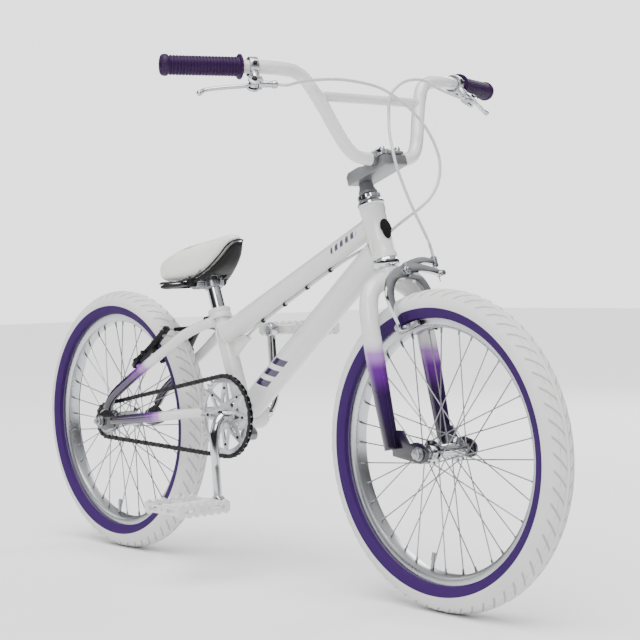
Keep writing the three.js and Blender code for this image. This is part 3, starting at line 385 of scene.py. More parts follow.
# Each coat: its slot, colour, roughness, metal share, clear coat, and its grain as
# (size per metre, roughness spread, bump height in metres, darkening).
PAINT = dict(
    colour=(0.74, 0.74, 0.73), rough=0.24, metal=0.0, coat=0.7,
    grain=(260, 0.06, 0.00002, 0.05),
)
TYRE_RUBBER = dict(
    slot="tyre", colour=(0.72, 0.72, 0.71), rough=0.72, metal=0.0, coat=0.0,
    grain=(900, 0.1, 0.00008, 0.12),
)
COATS = {
    "white_paint": dict(slot="white_paint", **PAINT),
    "top_tube_paint": dict(slot="white_paint", **PAINT),
    "down_tube_paint": dict(slot="white_paint", **PAINT),
    "fork_paint": dict(slot="faded_paint", **PAINT),
    "stay_paint": dict(slot="faded_paint", **PAINT),
    "chrome": dict(
        slot="chrome", colour=(0.62, 0.63, 0.65), rough=0.08, metal=1.0, coat=0.0,
        grain=(90, 0.08, 0.00001, 0.12),
    ),
    "steel": dict(
        slot="steel", colour=(0.4, 0.41, 0.43), rough=0.3, metal=1.0, coat=0.0,
        grain=(420, 0.14, 0.00002, 0.25),
    ),
    "spoke_steel": dict(
        slot="steel", colour=(0.3, 0.305, 0.32), rough=0.3, metal=1.0, coat=0.0,
        grain=(300, 0.1, 0.00001, 0.2),
    ),
    "alloy": dict(
        slot="alloy", colour=(0.52, 0.53, 0.55), rough=0.3, metal=1.0, coat=0.0,
        grain=(520, 0.12, 0.00002, 0.14),
    ),
    "stem_grey": dict(
        slot="alloy", colour=(0.24, 0.245, 0.255), rough=0.42, metal=0.75, coat=0.1,
        grain=(600, 0.15, 0.00004, 0.2),
    ),
    "black_steel": dict(
        slot="black_steel", colour=(0.012, 0.012, 0.014), rough=0.36, metal=0.7, coat=0.0,
        grain=(500, 0.16, 0.00003, 0.3),
    ),
    "chain_steel": dict(
        slot="black_steel", colour=(0.03, 0.03, 0.033), rough=0.4, metal=0.85, coat=0.0,
        grain=(700, 0.2, 0.00002, 0.4),
    ),
    "tyre_front": TYRE_RUBBER,
    "tyre_rear": TYRE_RUBBER,
    "purple_rubber": dict(
        slot="purple_rubber", colour=(0.024, 0.004, 0.046), rough=0.5, metal=0.0, coat=0.0,
        grain=(1400, 0.12, 0.0001, 0.3),
    ),
    "black_rubber": dict(
        slot="black_rubber", colour=(0.006, 0.006, 0.007), rough=0.75, metal=0.0, coat=0.0,
        grain=(1100, 0.1, 0.00008, 0.3),
    ),
    "white_plastic": dict(
        slot="white_plastic", colour=(0.8, 0.8, 0.78), rough=0.36, metal=0.0, coat=0.2,
        grain=(700, 0.08, 0.00002, 0.08),
    ),
    "cable_white": dict(
        slot="white_plastic", colour=(0.6, 0.6, 0.6), rough=0.36, metal=0.0, coat=0.2,
        grain=(700, 0.08, 0.00002, 0.08),
    ),
    "clear_plastic": dict(
        slot="clear_plastic", colour=(0.84, 0.84, 0.83), rough=0.3, metal=0.0, coat=0.3,
        grain=(500, 0.1, 0.00003, 0.06),
    ),
    "black_plastic": dict(
        slot="black_plastic", colour=(0.006, 0.006, 0.007), rough=0.5, metal=0.0, coat=0.0,
        grain=(1600, 0.12, 0.00008, 0.3),
    ),
    "cover": dict(
        slot="cover", colour=(0.85, 0.845, 0.8), rough=0.42, metal=0.0, coat=0.25,
        grain=(1200, 0.1, 0.00006, 0.06),
    ),
}
FORK_FADE_TOP = 0.437  # height in metres where the fork starts to darken
FORK_FADE_LENGTH = 0.2
STAY_FADE_START = 0.215  # metres from the rear axle
STAY_FADE_LENGTH = 0.185
SIDEWALL_BAND = (0.2105, 0.2285)  # inner and outer radius of the coloured sidewall, in metres
PEARL = (0.74, 0.74, 0.73, 1)
PALE_VIOLET = (0.36, 0.16, 0.5, 1)
VIOLET = (0.1, 0.01, 0.2, 1)
DEEP_PURPLE = (0.018, 0.003, 0.045, 1)
NEAR_BLACK = (0.004, 0.003, 0.006, 1)
TREAD_SLANT = 0.055
# grey painted into the tyre's tread grooves as painted shade
GROOVE_SHADE_GREY = (0.3, 0.3, 0.31, 1)
SIDEWALL_PURPLE = (0.032, 0.007, 0.085, 1)
GRAPHIC_PURPLE = (0.016, 0.004, 0.05, 1)


def new_group(name, inputs, outputs):
    """An empty shader node group with its sockets."""
    tree = bpy.data.node_groups.new(name, "ShaderNodeTree")
    for socket, kind, value in inputs:
        made = tree.interface.new_socket(socket, in_out="INPUT", socket_type=kind)
        made.default_value = value
    for socket, kind in outputs:
        tree.interface.new_socket(socket, in_out="OUTPUT", socket_type=kind)
    return tree, tree.nodes.new("NodeGroupInput"), tree.nodes.new("NodeGroupOutput")


def math_node(tree, operation, a, b=None, clamp=False):
    node = tree.nodes.new("ShaderNodeMath")
    node.operation = operation
    node.use_clamp = clamp
    for socket, value in zip(node.inputs, (a, b)):
        if value is None:
            continue
        if isinstance(value, (int, float)):
            socket.default_value = value
        else:
            tree.links.new(value, socket)
    return node.outputs[0]


def grain_group():
    """Fine surface variation: roughness, height and a tone between 0 and 1."""
    if "Surface grain" in bpy.data.node_groups:
        return bpy.data.node_groups["Surface grain"]
    tree, given, result = new_group(
        "Surface grain",
        [("Scale", "NodeSocketFloat", 300), ("Roughness", "NodeSocketFloat", 0.3),
        ("Spread", "NodeSocketFloat", 0.1)],
        [("Roughness", "NodeSocketFloat"), ("Height", "NodeSocketFloat"), ("Tone", "NodeSocketFloat")],
    )
    place = tree.nodes.new("ShaderNodeTexCoord")
    fine = tree.nodes.new("ShaderNodeTexNoise")
    fine.inputs["Detail"].default_value = 6
    broad = tree.nodes.new("ShaderNodeTexNoise")
    broad.inputs["Scale"].default_value = 14
    broad.inputs["Detail"].default_value = 4
    for node in (fine, broad):
        tree.links.new(place.outputs["Object"], node.inputs["Vector"])
    tree.links.new(given.outputs["Scale"], fine.inputs["Scale"])
    both = math_node(tree, "MULTIPLY", math_node(tree, "ADD", fine.outputs["Fac"], broad.outputs["Fac"]),
        0.5)
    offset = math_node(tree, "MULTIPLY", math_node(tree, "SUBTRACT", both, 0.5), given.outputs["Spread"])
    rough = math_node(tree, "ADD", given.outputs["Roughness"], math_node(tree, "MULTIPLY", offset, 3),
        clamp=True)
    tree.links.new(rough, result.inputs["Roughness"])
    tree.links.new(fine.outputs["Fac"], result.inputs["Height"])
    tree.links.new(math_node(tree, "SUBTRACT", math_node(tree, "MULTIPLY", both, 2.4), 0.7, clamp=True),
        result.inputs["Tone"])
    return tree


def fade_group():
    """White paint that runs through violet and purple to near black, as Along goes from 0 to 1."""
    if "Paint fade" in bpy.data.node_groups:
        return bpy.data.node_groups["Paint fade"]
    tree, given, result = new_group(
        "Paint fade",
        [("Along", "NodeSocketFloat", 0), ("Paint", "NodeSocketColor", PEARL)],
        [("Color", "NodeSocketColor")],
    )
    ramp = tree.nodes.new("ShaderNodeValToRGB")
    ramp.color_ramp.interpolation = "EASE"
    stops = [(0.0, PEARL), (0.14, PALE_VIOLET), (0.26, VIOLET), (0.46, DEEP_PURPLE), (1.0, NEAR_BLACK)]
    ramp.color_ramp.elements[0].position, ramp.color_ramp.elements[0].color = stops[0]
    ramp.color_ramp.elements[1].position, ramp.color_ramp.elements[1].color = stops[-1]
    for position, colour in stops[1:-1]:
        ramp.color_ramp.elements.new(position).color = colour
    tree.links.new(given.outputs["Along"], ramp.inputs["Fac"])
    white = math_node(tree, "SUBTRACT", 1,
        math_node(tree, "MULTIPLY", given.outputs["Along"], 8, clamp=True))
    tree.links.new(tinted(tree, ramp.outputs["Color"], given.outputs["Paint"], white),
        result.inputs["Color"])
    return tree


def place_group(tree, group):
    node = tree.nodes.new("ShaderNodeGroup")
    node.node_tree = group
    return node


def tinted(tree, colour_a, colour_b, factor):
    """A mix of two colours, each a tuple or a socket."""
    mix = tree.nodes.new("ShaderNodeMix")
    mix.data_type = "RGBA"
    tree.links.new(factor, mix.inputs["Factor"])
    for socket, value in (("A", colour_a), ("B", colour_b)):
        target = next(s for s in mix.inputs if s.name == socket and s.type == "RGBA")
        if isinstance(value, tuple):
            target.default_value = value
        else:
            tree.links.new(value, target)
    return next(s for s in mix.outputs if s.type == "RGBA")


def object_axes(tree):
    place = tree.nodes.new("ShaderNodeTexCoord")
    split = tree.nodes.new("ShaderNodeSeparateXYZ")
    tree.links.new(place.outputs["Object"], split.inputs[0])
    return split.outputs


def distance_from(tree, x, z):
    """Distance in metres from a crossways axis through (x, z)."""
    axes = object_axes(tree)
    dx = math_node(tree, "SUBTRACT", axes["X"], x)
    dz = math_node(tree, "SUBTRACT", axes["Z"], z)
    return math_node(
        tree, "SQRT", math_node(tree, "ADD", math_node(tree, "MULTIPLY", dx, dx),
        math_node(tree, "MULTIPLY", dz, dz))
    )


def band(tree, value, start, end, soft=0.001):
    """1 between start and end, 0 outside."""
    rise = math_node(tree, "DIVIDE", math_node(tree, "SUBTRACT", value, start), soft, clamp=True)
    fall = math_node(tree, "DIVIDE", math_node(tree, "SUBTRACT", end, value), soft, clamp=True)
    return math_node(tree, "MULTIPLY", rise, fall)


def fork_colour(tree, base):
    height = object_axes(tree)["Z"]
    along = math_node(tree, "DIVIDE", math_node(tree, "SUBTRACT", FORK_FADE_TOP, height),
        FORK_FADE_LENGTH, clamp=True)
    return faded(tree, along, base)


def stay_colour(tree, base):
    reach = distance_from(tree, REAR["x"] * MM, AXLE_Z * MM)
    along = math_node(tree, "DIVIDE", math_node(tree, "SUBTRACT", STAY_FADE_START, reach),
        STAY_FADE_LENGTH, clamp=True)
    return faded(tree, along, base)


def faded(tree, along, base):
    node = place_group(tree, fade_group())
    tree.links.new(along, node.inputs["Along"])
    tree.links.new(base, node.inputs["Paint"])
    return node.outputs["Color"]


def graphic_colour(foot, run, start, end, pitch, slant, half_height):
    """Slanted bars in a row along a tube: an abstract graphic, measured in metres from its foot."""
    def colour(tree, base):
        axes = object_axes(tree)
        dx = math_node(tree, "SUBTRACT", axes["X"], foot.x * MM)
        dz = math_node(tree, "SUBTRACT", axes["Z"], foot.z * MM)
        along = math_node(tree, "ADD", math_node(tree, "MULTIPLY", dx, run.x),
            math_node(tree, "MULTIPLY", dz, run.z))
        over = math_node(tree, "SUBTRACT", math_node(tree, "MULTIPLY", dz, run.x),
            math_node(tree, "MULTIPLY", dx, run.z))
        leaning = math_node(tree, "ADD", along, math_node(tree, "MULTIPLY", over, slant))
        bars = band(tree, math_node(tree, "FRACT", math_node(tree, "DIVIDE", leaning, pitch)), 0.12, 0.72,
            0.03)
        room = math_node(tree, "MULTIPLY", band(tree, leaning, start, end),
            band(tree, over, -half_height, half_height))
        return tinted(tree, base, GRAPHIC_PURPLE, math_node(tree, "MULTIPLY", bars, room))

    return colour


def tyre_colour(x):
    def colour(tree, base):
        reach = distance_from(tree, x * MM, AXLE_Z * MM)
        axes = object_axes(tree)
        dx = math_node(tree, "SUBTRACT", axes["X"], x * MM)
        dz = math_node(tree, "SUBTRACT", axes["Z"], AXLE_Z * MM)
        share = math_node(tree, "ABSOLUTE", axes["Y"])
        turns = math_node(tree, "DIVIDE", math_node(tree, "ARCTAN2", dx, dz), TAU)
        blocks = math_node(tree, "MULTIPLY", turns, bpy.context.scene.bicycle_sizes.tread_blocks)
        wave = math_node(tree, "FRACT",
            math_node(tree, "ADD", blocks, math_node(tree, "MULTIPLY", share, TREAD_SLANT / MM)))
        cuts = math_node(tree, "MULTIPLY", band(tree, wave, 0.02, 0.28, 0.05),
            band(tree, share, 0.003, 0.024, 0.002))
        rings = math_node(tree, "MAXIMUM", band(tree, share, 0.003, 0.0046),
            band(tree, share, 0.0135, 0.015))
        grooves = math_node(tree, "MULTIPLY", math_node(tree, "MAXIMUM", cuts, rings),
            band(tree, reach, 0.236, 0.3))
        # painted shade: the tread grooves and the two rings round the tread are tinted grey, as if
        # shaded, over the modelled grooves
        groove_shaded = tinted(tree, base, GROOVE_SHADE_GREY, math_node(tree, "MULTIPLY", grooves, 0.75))
        return tinted(tree, groove_shaded, SIDEWALL_PURPLE, band(tree, reach, *SIDEWALL_BAND))

    return colour


def cover_colour(tree, base):
    """A leaning violet patch on each flank of the saddle, with a thin line beside it."""
    axes = object_axes(tree)
    flank = math_node(tree, "ABSOLUTE", axes["Y"])
    leaning = math_node(tree, "ADD", axes["X"], math_node(tree, "MULTIPLY", flank, 1.3))
    bars = math_node(tree, "MAXIMUM", band(tree, leaning, -0.172, -0.14),
        band(tree, leaning, -0.134, -0.13))
    patch = math_node(tree, "MULTIPLY", bars, band(tree, flank, 0.017, 0.036))
    return tinted(tree, base, SIDEWALL_PURPLE, patch)


COLOURINGS = {
    "fork_paint": fork_colour,
    "stay_paint": stay_colour,
    "top_tube_paint": graphic_colour(TOP_REAR, (TOP_FRONT - TOP_REAR).normalized(), 0.352, 0.424, 0.0145,
    -0.4, 0.0055),
    "down_tube_paint": graphic_colour(BRACKET, (DOWN_FRONT - BRACKET).normalized(), 0.085, 0.175, 0.03,
    0.8, 0.0135),
    "tyre_front": tyre_colour(FRONT["x"]),
    "tyre_rear": tyre_colour(REAR["x"]),
    "cover": cover_colour,
}


def finish(name):
    """The material of a coat, made the first time it is asked for."""
    title = f"{name} finish"
    if title in bpy.data.materials:
        return bpy.data.materials[title]
    coat = COATS[name]
    scale, spread, depth, darkening = coat["grain"]
    material = bpy.data.materials.new(title)
    material.use_nodes = True
    tree = material.node_tree
    shader = tree.nodes["Principled BSDF"]
    shader.inputs["Metallic"].default_value = coat["metal"]
    shader.inputs["Coat Weight"].default_value = coat["coat"]
    shader.inputs["Coat Roughness"].default_value = 0.06
    if coat["metal"] == 0 and coat["coat"] == 0:
        shader.inputs["Specular IOR Level"].default_value = 0.22
    if name == "clear_plastic":
        shader.inputs["Transmission Weight"].default_value = 0.2
        shader.inputs["IOR"].default_value = 1.49
    grain = place_group(tree, grain_group())
    grain.inputs["Scale"].default_value = scale
    grain.inputs["Roughness"].default_value = coat["rough"]
    grain.inputs["Spread"].default_value = spread
    tree.links.new(grain.outputs["Roughness"], shader.inputs["Roughness"])
    bump = tree.nodes.new("ShaderNodeBump")
    bump.inputs["Strength"].default_value = 0.5
    bump.inputs["Distance"].default_value = depth
    tree.links.new(grain.outputs["Height"], bump.inputs["Height"])
    tree.links.new(bump.outputs["Normal"], shader.inputs["Normal"])
    colour = (*coat["colour"], 1.0)
    darker = (*(c * (1 - darkening * 2) for c in coat["colour"]), 1.0)
    base = tinted(tree, colour, darker, math_node(tree, "MULTIPLY", grain.outputs["Tone"], 0.5))
    if name in COLOURINGS:
        base = COLOURINGS[name](tree, base)
    tree.links.new(base, shader.inputs["Base Color"])
    return material


# ---- the stage ---------------------------------------------------------------------------------

CAMERA_PLACE = Vector((2.2411, -1.7935, 0.5464))
CAMERA_YAW = math.radians(49.337)
CAMERA_PITCH = math.radians(1.771)
CAMERA_ROLL = math.radians(-1.186)
CAMERA_LENS = 90.08
BACKDROP = (2.3, 2.3, 2.32, 1)


def build_stage(light):
    ahead = Vector(
        (-math.sin(CAMERA_YAW) * math.cos(CAMERA_PITCH), math.cos(CAMERA_YAW) * math.cos(CAMERA_PITCH),
        -math.sin(CAMERA_PITCH))
    )
    right = Vector((math.cos(CAMERA_YAW), math.sin(CAMERA_YAW), 0))
    up = right.cross(ahead)
    turned_right = right * math.cos(CAMERA_ROLL) + up * math.sin(CAMERA_ROLL)
    turned_up = -right * math.sin(CAMERA_ROLL) + up * math.cos(CAMERA_ROLL)
    camera = bpy.data.objects.new("camera", bpy.data.cameras.new("camera"))
    camera.data.lens = CAMERA_LENS
    camera.data.sensor_width = 36
    camera.data.clip_end = 50
    matrix = Matrix((turned_right, turned_up, -ahead)).transposed().to_4x4()
    matrix.translation = CAMERA_PLACE
    camera.matrix_world = matrix
    bpy.context.scene.collection.objects.link(camera)
    bpy.context.scene.camera = camera

    floor_mesh = bpy.data.meshes.new("floor")
    half = 14
    floor_mesh.from_pydata([(-half, -half, 0), (half, -half, 0), (half, half, 0), (-half, half, 0)], [],
        [(0, 1, 2, 3)])
    floor = bpy.data.objects.new("floor", floor_mesh)
    bpy.context.scene.collection.objects.link(floor)
    pale = bpy.data.materials.new("pale floor")
    pale.use_nodes = True
    shader = pale.node_tree.nodes["Principled BSDF"]
    shader.inputs["Base Color"].default_value = (0.9, 0.9, 0.9, 1)
    shader.inputs["Roughness"].default_value = 0.7
    floor.data.materials.append(pale)

    world = bpy.data.worlds.new("studio")
    world.use_nodes = True
    tree = world.node_tree
    place = tree.nodes.new("ShaderNodeTexCoord")
    split = tree.nodes.new("ShaderNodeSeparateXYZ")
    tree.links.new(place.outputs["Generated"], split.inputs[0])
    ramp = tree.nodes.new("ShaderNodeValToRGB")
    ramp.color_ramp.elements[0].color = (0.5, 0.5, 0.5, 1)
    ramp.color_ramp.elements[1].color = (1, 1, 1, 1)
    for height, tone in ((0.04, 0.03), (0.28, 0.05), (0.5, 0.55)):
        ramp.color_ramp.elements.new(height).color = (tone, tone, tone * 1.03, 1)
    tree.links.new(split.outputs["Z"], ramp.inputs["Fac"])
    seen = tree.nodes.new("ShaderNodeLightPath")
    colour = tinted(tree, ramp.outputs["Color"], BACKDROP, seen.outputs["Is Camera Ray"])
    tree.links.new(colour, tree.nodes["Background"].inputs["Color"])
    tree.nodes["Background"].inputs["Strength"].default_value = light
    bpy.context.scene.world = world
    lamps = {
        "key": ((2.4, -3.0, 2.6), (0.0, 0.0, 0.4), 1.3, 42),
        "fill": ((-3.2, -2.4, 1.6), (0.0, 0.0, 0.4), 1.4, 16),
        "back": ((-1.4, 3.4, 2.2), (0.0, 0.0, 0.5), 1.6, 60),
    }
    for name, (place, target, size, power) in lamps.items():
        lamp = bpy.data.objects.new(name, bpy.data.lights.new(name, "AREA"))
        lamp.data.size = size
        lamp.data.energy = power
        lamp.location = place
        lamp.rotation_euler = (Vector(target) - Vector(place)).to_track_quat("-Z", "Y").to_euler()
        bpy.context.scene.collection.objects.link(lamp)
    overhead = bpy.data.objects.new("overhead", bpy.data.lights.new("overhead", "SUN"))
    overhead.data.energy = 4.6
    overhead.data.angle = math.radians(55)
    overhead.rotation_euler = (math.radians(14), math.radians(10), 0)
    bpy.context.scene.collection.objects.link(overhead)


# ---- wheels ------------------------------------------------------------------------------------


def wheel_place(wheel, radius, angle, y):
    return Vector((wheel["x"] + radius * math.sin(angle), y, AXLE_Z + radius * math.cos(angle)))


def build_tyre(end, wheel, tread_depth, tread_blocks):
    outer = []
    bead_y = RIM_HALF_WIDTH - 3.1
    low = math.asin((RIM_RADIUS + 1.4 - TYRE_CENTRE) / TYRE_SECTION)
    steps = 36
    for i in range(steps + 1):
        angle = low + (math.pi - 2 * low) * i / steps
        outer.append((TYRE_CENTRE + TYRE_SECTION * math.sin(angle), TYRE_SECTION * math.cos(angle)))
    inner = [(RIM_RADIUS + 6, -22), (TYRE_CENTRE + 14, -18), (TYRE_CENTRE + 23, 0),
        (TYRE_CENTRE + 14, 18), (RIM_RADIUS + 6, 22)]
    bead_left = [(RIM_RADIUS + 3, 8.5), (RIM_RADIUS - 7, 7), (RIM_RADIUS - 7, bead_y - 1.4),
        (RIM_RADIUS + 0.35, bead_y),
        (RIM_RADIUS + 0.35, RIM_HALF_WIDTH + 1)]
    bead_right = [(r, -y) for r, y in reversed(bead_left)]
    profile = outer + bead_right + inner + bead_left

    def tread(angle, radius, along):
        lift = radius - TYRE_CENTRE
        if math.hypot(lift, along) < TYRE_SECTION - 0.5 or lift < 4:
            return 0
        share = abs(along)
        wave = (angle / TAU * tread_blocks + share * TREAD_SLANT) % 1
        cross_cut = wave < 0.3 and share > 3
        ring_cut = 3 < share < 4.6 or 13.5 < share < 15
        return -tread_depth if (cross_cut or ring_cut) and share < 24 else 0

    centre = Vector((wheel["x"], 0, AXLE_Z))
    form = Form().lathe(profile, centre, Y_AXIS, sides=tread_blocks * 8, shape=tread)
    make(f"{end}_tyre_casing", form, f"{end}_wheel", f"tyre_{end}", [f"{end}_tyre"], smooth_limit=30)


def build_rim(end, wheel):
    wall = RIM_HALF_WIDTH - 2.5
    half = [(RIM_RADIUS, RIM_HALF_WIDTH), (RIM_RADIUS, wall), (RIM_RADIUS - 11, wall - 2)]
    under = [(RIM_INNER, 9), (RIM_INNER + 1.2, 12), (RIM_INNER + 4, 14.2),
        (RIM_INNER + 6, RIM_HALF_WIDTH)]
    profile = half + [(r, -y) for r, y in reversed(half)] + [(r, -y) for r, y in reversed(under)] + under
    form = Form().lathe(profile, Vector((wheel["x"], 0, AXLE_Z)), Y_AXIS, sides=128)
    make(f"{end}_rim_hoop", form, f"{end}_wheel", "alloy", [f"{end}_rim"], smooth_limit=25)
    nipples = Form()
    valve_angle = math.pi + 0.17
    for side in (-1, 1):
        for i in range(SPOKES_PER_SIDE):
            angle = (i + (0.5 if side > 0 else 0)) / SPOKES_PER_SIDE * TAU
            y = side * 2.5
            nipples.bar(wheel_place(wheel, RIM_INNER + 0.4, angle, y),
                wheel_place(wheel, RIM_INNER - 9, angle, y * 1.2), 2.2, 1.6, 8)
    nipples.bar(wheel_place(wheel, RIM_INNER + 1, valve_angle, 0),
        wheel_place(wheel, RIM_INNER - 16, valve_angle, 0), 3, 3, 12)
    nipples.bar(wheel_place(wheel, RIM_INNER - 16, valve_angle, 0),
        wheel_place(wheel, RIM_INNER - 28, valve_angle, 0), 4, 3.6, 12)
    make(f"{end}_nipples_and_valve", nipples, f"{end}_wheel", "spoke_steel")


def build_spokes(end, wheel):
    for name, side in SIDES.items():
        form = Form()
        lead = 0.5 if side > 0 else 0
        for i in range(SPOKES_PER_SIDE):
            angle = (i + lead) / SPOKES_PER_SIDE * TAU
            turn = -SPOKE_CROSS if i % 2 else SPOKE_CROSS
            spread = -2 if i % 2 else 2
            flange = side * wheel["flange"]
            head = wheel_place(wheel, FLANGE_RADIUS - 3.5, angle + turn, flange + spread * 1.3)
            elbow = wheel_place(wheel, FLANGE_RADIUS - 1.5, angle + turn, flange + spread)
            form.tube([head, elbow, wheel_place(wheel, RIM_INNER - 6, angle, side * 3)], 1.05, 8)
            form.ball(head, 1.9, 8)
        make(f"{end}_spoke_set_{name}", form, f"{end}_wheel", "spoke_steel", [f"{end}_spokes_{name}"])


def build_hub(end, wheel):
    flange, shoulder, barrel = wheel["flange"], wheel["shoulder"], wheel["barrel"]
    half = [
        (6, shoulder), (11.4, shoulder), (12, shoulder - 0.8), (12, flange + 2), (18, flange + 1.6),
        (FLANGE_RADIUS, flange + 0.9), (FLANGE_RADIUS, flange - 0.9), (18, flange - 1.6),
        (barrel + 1, flange - 4),
        (barrel, flange - 7), (barrel, 2),
    ]
    profile = [(r, y) for r, y in half] + [(r, -y) for r, y in reversed(half)]
    form = Form().lathe(profile, Vector((wheel["x"], 0, AXLE_Z)), Y_AXIS, sides=56)
    make(f"{end}_hub_shell", form, f"{end}_wheel", "chrome", [f"{end}_hub"], smooth_limit=30)


def build_axle(end, wheel):
    form = Form()

    def at(y):
        return Vector((wheel["x"], y, AXLE_Z))

    total = 2 * wheel["end"]
    threads = 44
    rings = [at(-wheel["end"] + total * k / (threads * 2)) for k in range(threads * 2 + 1)]
    form.tube(rings, lambda t: 4.6 + 0.35 * (round(t * threads * 2) % 2), 16)
    for side in (-1, 1):
        inside = wheel["shoulder"] + 1
        outside = wheel["dropout"] + DROPOUT_PLATE + 0.35
        form.bar(at(side * inside), at(side * (inside + 6)), 8, 8, 28)
        form.hexagon(at(side * (inside + 5)), at(side * wheel["locknut"]), 9)
        form.bar(at(side * outside), at(side * (outside + 2)), 11, 11, 32)
        form.hexagon(at(side * (outside + 1.5)), at(side * (outside + 9)), 9.2)
    body = "steering" if end == "front" else "frame"
    make(f"{end}_axle_and_nuts", form, body, "steel", [f"{end}_axle"], bevel=0.25)


def build_wheels(tread_depth, tread_blocks):
    for end, wheel in (("front", FRONT), ("rear", REAR)):
        build_tyre(end, wheel, tread_depth, tread_blocks)
        build_rim(end, wheel)
        build_spokes(end, wheel)
        build_hub(end, wheel)
        build_axle(end, wheel)


# ---- frame -------------------------------------------------------------------------------------


def build_main_tubes():
    head = Form()
    bore = HEAD_RADIUS - 4
    wide = HEAD_RADIUS + 1.5
    foot = on_steer(5)
    profile = [
        (bore, 0), (wide - 0.6, 0), (wide, 0.6), (wide, 9), (HEAD_RADIUS, 13),
        (HEAD_RADIUS, HEAD_LENGTH - 13),
        (wide, HEAD_LENGTH - 9), (wide, HEAD_LENGTH - 0.6), (wide - 0.6, HEAD_LENGTH),
        (bore, HEAD_LENGTH),
    ]
    head.lathe(profile, foot, STEER, sides=56)
    run = (TOP_FRONT - TOP_REAR).normalized()
    start = TOP_REAR + run * 8
    stop = TOP_FRONT - run * 8
    head.bar(start, stop, 20, 16.5, sides=48)
    weld_bead(head, start, stop, 16.3, HEAD_FOOT, STEER, HEAD_RADIUS - 0.4)
    make("head_tube_and_top_tube", head, "frame", "top_tube_paint", ["head_and_top_tube"],
        smooth_limit=35)

    down = Form()
    run = (DOWN_FRONT - BRACKET).normalized()
    start = BRACKET + run * (SHELL_RADIUS - 6)
    stop = DOWN_FRONT - run * 12
    down.tube(spaced([start, stop], 24), 23.3, 48)
    weld_bead(down, start + run * 30, stop, 23, HEAD_FOOT, STEER, HEAD_RADIUS - 0.2)
    weld_bead(down, stop, start, 23, BRACKET, Y_AXIS, SHELL_RADIUS - 0.2)
    make("down_tube_shaft", down, "frame", "down_tube_paint", ["down_tube"])

    seat = Form()
    shell = [
        (25.8, -SHELL_HALF), (SHELL_RADIUS - 0.6, -SHELL_HALF), (SHELL_RADIUS, 0.6 - SHELL_HALF),
        (SHELL_RADIUS, SHELL_HALF - 0.6), (SHELL_RADIUS - 0.6, SHELL_HALF), (25.8, SHELL_HALF),
    ]
    seat.lathe(shell, BRACKET, Y_AXIS, sides=56)
    tube = [(SEAT_TUBE_RADIUS, 26), (SEAT_TUBE_RADIUS, SEAT_TUBE_LENGTH), (13.4, SEAT_TUBE_LENGTH),
        (13.4, 27)]
    seat.lathe(tube, BRACKET, SEAT_UP, sides=48)
    weld_bead(seat, on_seat_tube(120), on_seat_tube(20), SEAT_TUBE_RADIUS - 0.2, BRACKET, Y_AXIS,
        SHELL_RADIUS - 0.2)
    weld_bead(seat, TOP_FRONT, TOP_REAR, 19.6, BRACKET, SEAT_UP, SEAT_TUBE_RADIUS - 0.3)
    gusset = [(-6, -46), (2, -42), (10, -33), (22, -20), (38, -6), (57, 9), (40, 14), (-6, 4)]
    seat.plate(gusset, 6, on_seat_tube(140) + Vector((14, 0, 0)), X_AXIS, Z_AXIS)
    make("seat_tube_and_shell", seat, "frame", "white_paint", ["seat_tube"], bevel=0.4)

    lug = Form()
    lug.lathe([(4, -12), (10, -12), (11, -11), (11, 11), (10, 12), (4, 12)], Vector((-51, 0, 251)),
        Y_AXIS, sides=36)
    lug.bar((-51, -11, 251), (-51, 11, 251), 4.2)
    make("bracket_lug", lug, "frame", "stem_grey")


def dropout_outline():
    points = [(-16, -10), (-18.6, -2), (-17.5, 6), (-11, 12.5), (0, 17), (22, 26), (46, 12), (46, -9),
        (34, -13), (14, -16.4), (-4, -16), (-12, -14.5)]
    return points


def build_stays():
    for name, side in SIDES.items():
        chainstay = Form()
        points = [(-88, 30, 287), (-138, 33.2, 287), (-188, 42, 284), (-250, 48, 277), (-330, 53, 268),
            (-410, 57.5, 260)]
        path = curve_through([(x, side * y, z) for x, y, z in points], 40)
        chainstay.tube(path, lambda t: STAY_RADIUS - 1.2 * max(0, t - 0.86) / 0.14, 28)
        at = Vector((REAR["x"], side * (REAR["dropout"] + DROPOUT_PLATE / 2), AXLE_Z))
        hole = [(5.5 * math.cos(a), 5.5 * math.sin(a)) for a in (TAU * k / 20 for k in range(20))]
        chainstay.plate(dropout_outline(), DROPOUT_PLATE - 0.2, at, X_AXIS, Z_AXIS, [hole])
        make(f"{name}_chainstay_and_dropout", chainstay, "frame", "stay_paint", [f"{name}_chainstay"],
            bevel=0.5)

        seatstay = Form()
        points = [(-124, 18, 458), (-180, 40, 435), (-250, 51, 396), (-330, 56, 353), (-398, 59.5, 313),
            (-426, 60, 285)]
        path = curve_through([(x, side * y, z) for x, y, z in points], 40)
        seatstay.tube(path, lambda t: STAY_RADIUS - 1.4 * max(0, t - 0.86) / 0.14, 28)
        seatstay.bar(v_place(0, -14, side * 54), v_place(0, -5, side * 54), 7, 6)
        make(f"{name}_seatstay_tube", seatstay, "frame", "stay_paint", [f"{name}_seatstay"], bevel=0.4)
        pivot = Form()
        pivot.bar(v_place(0, -7, side * 54), v_place(0, 6, side * 54), 4.6)
        pivot.hexagon(v_place(0, 5, side * 54), v_place(0, 9, side * 54), 7.4)
        make(f"{name}_brake_post", pivot, "frame", "black_steel", bevel=0.3)


def under_top_tube(x, y, drop=3.2):
    share = (x - TOP_REAR.x) / (TOP_FRONT.x - TOP_REAR.x)
    centre = TOP_REAR.z + share * (TOP_FRONT.z - TOP_REAR.z)
    radius = 20 - share * 3.5
    return Vector((x, y, centre - radius * 1.1 - drop))


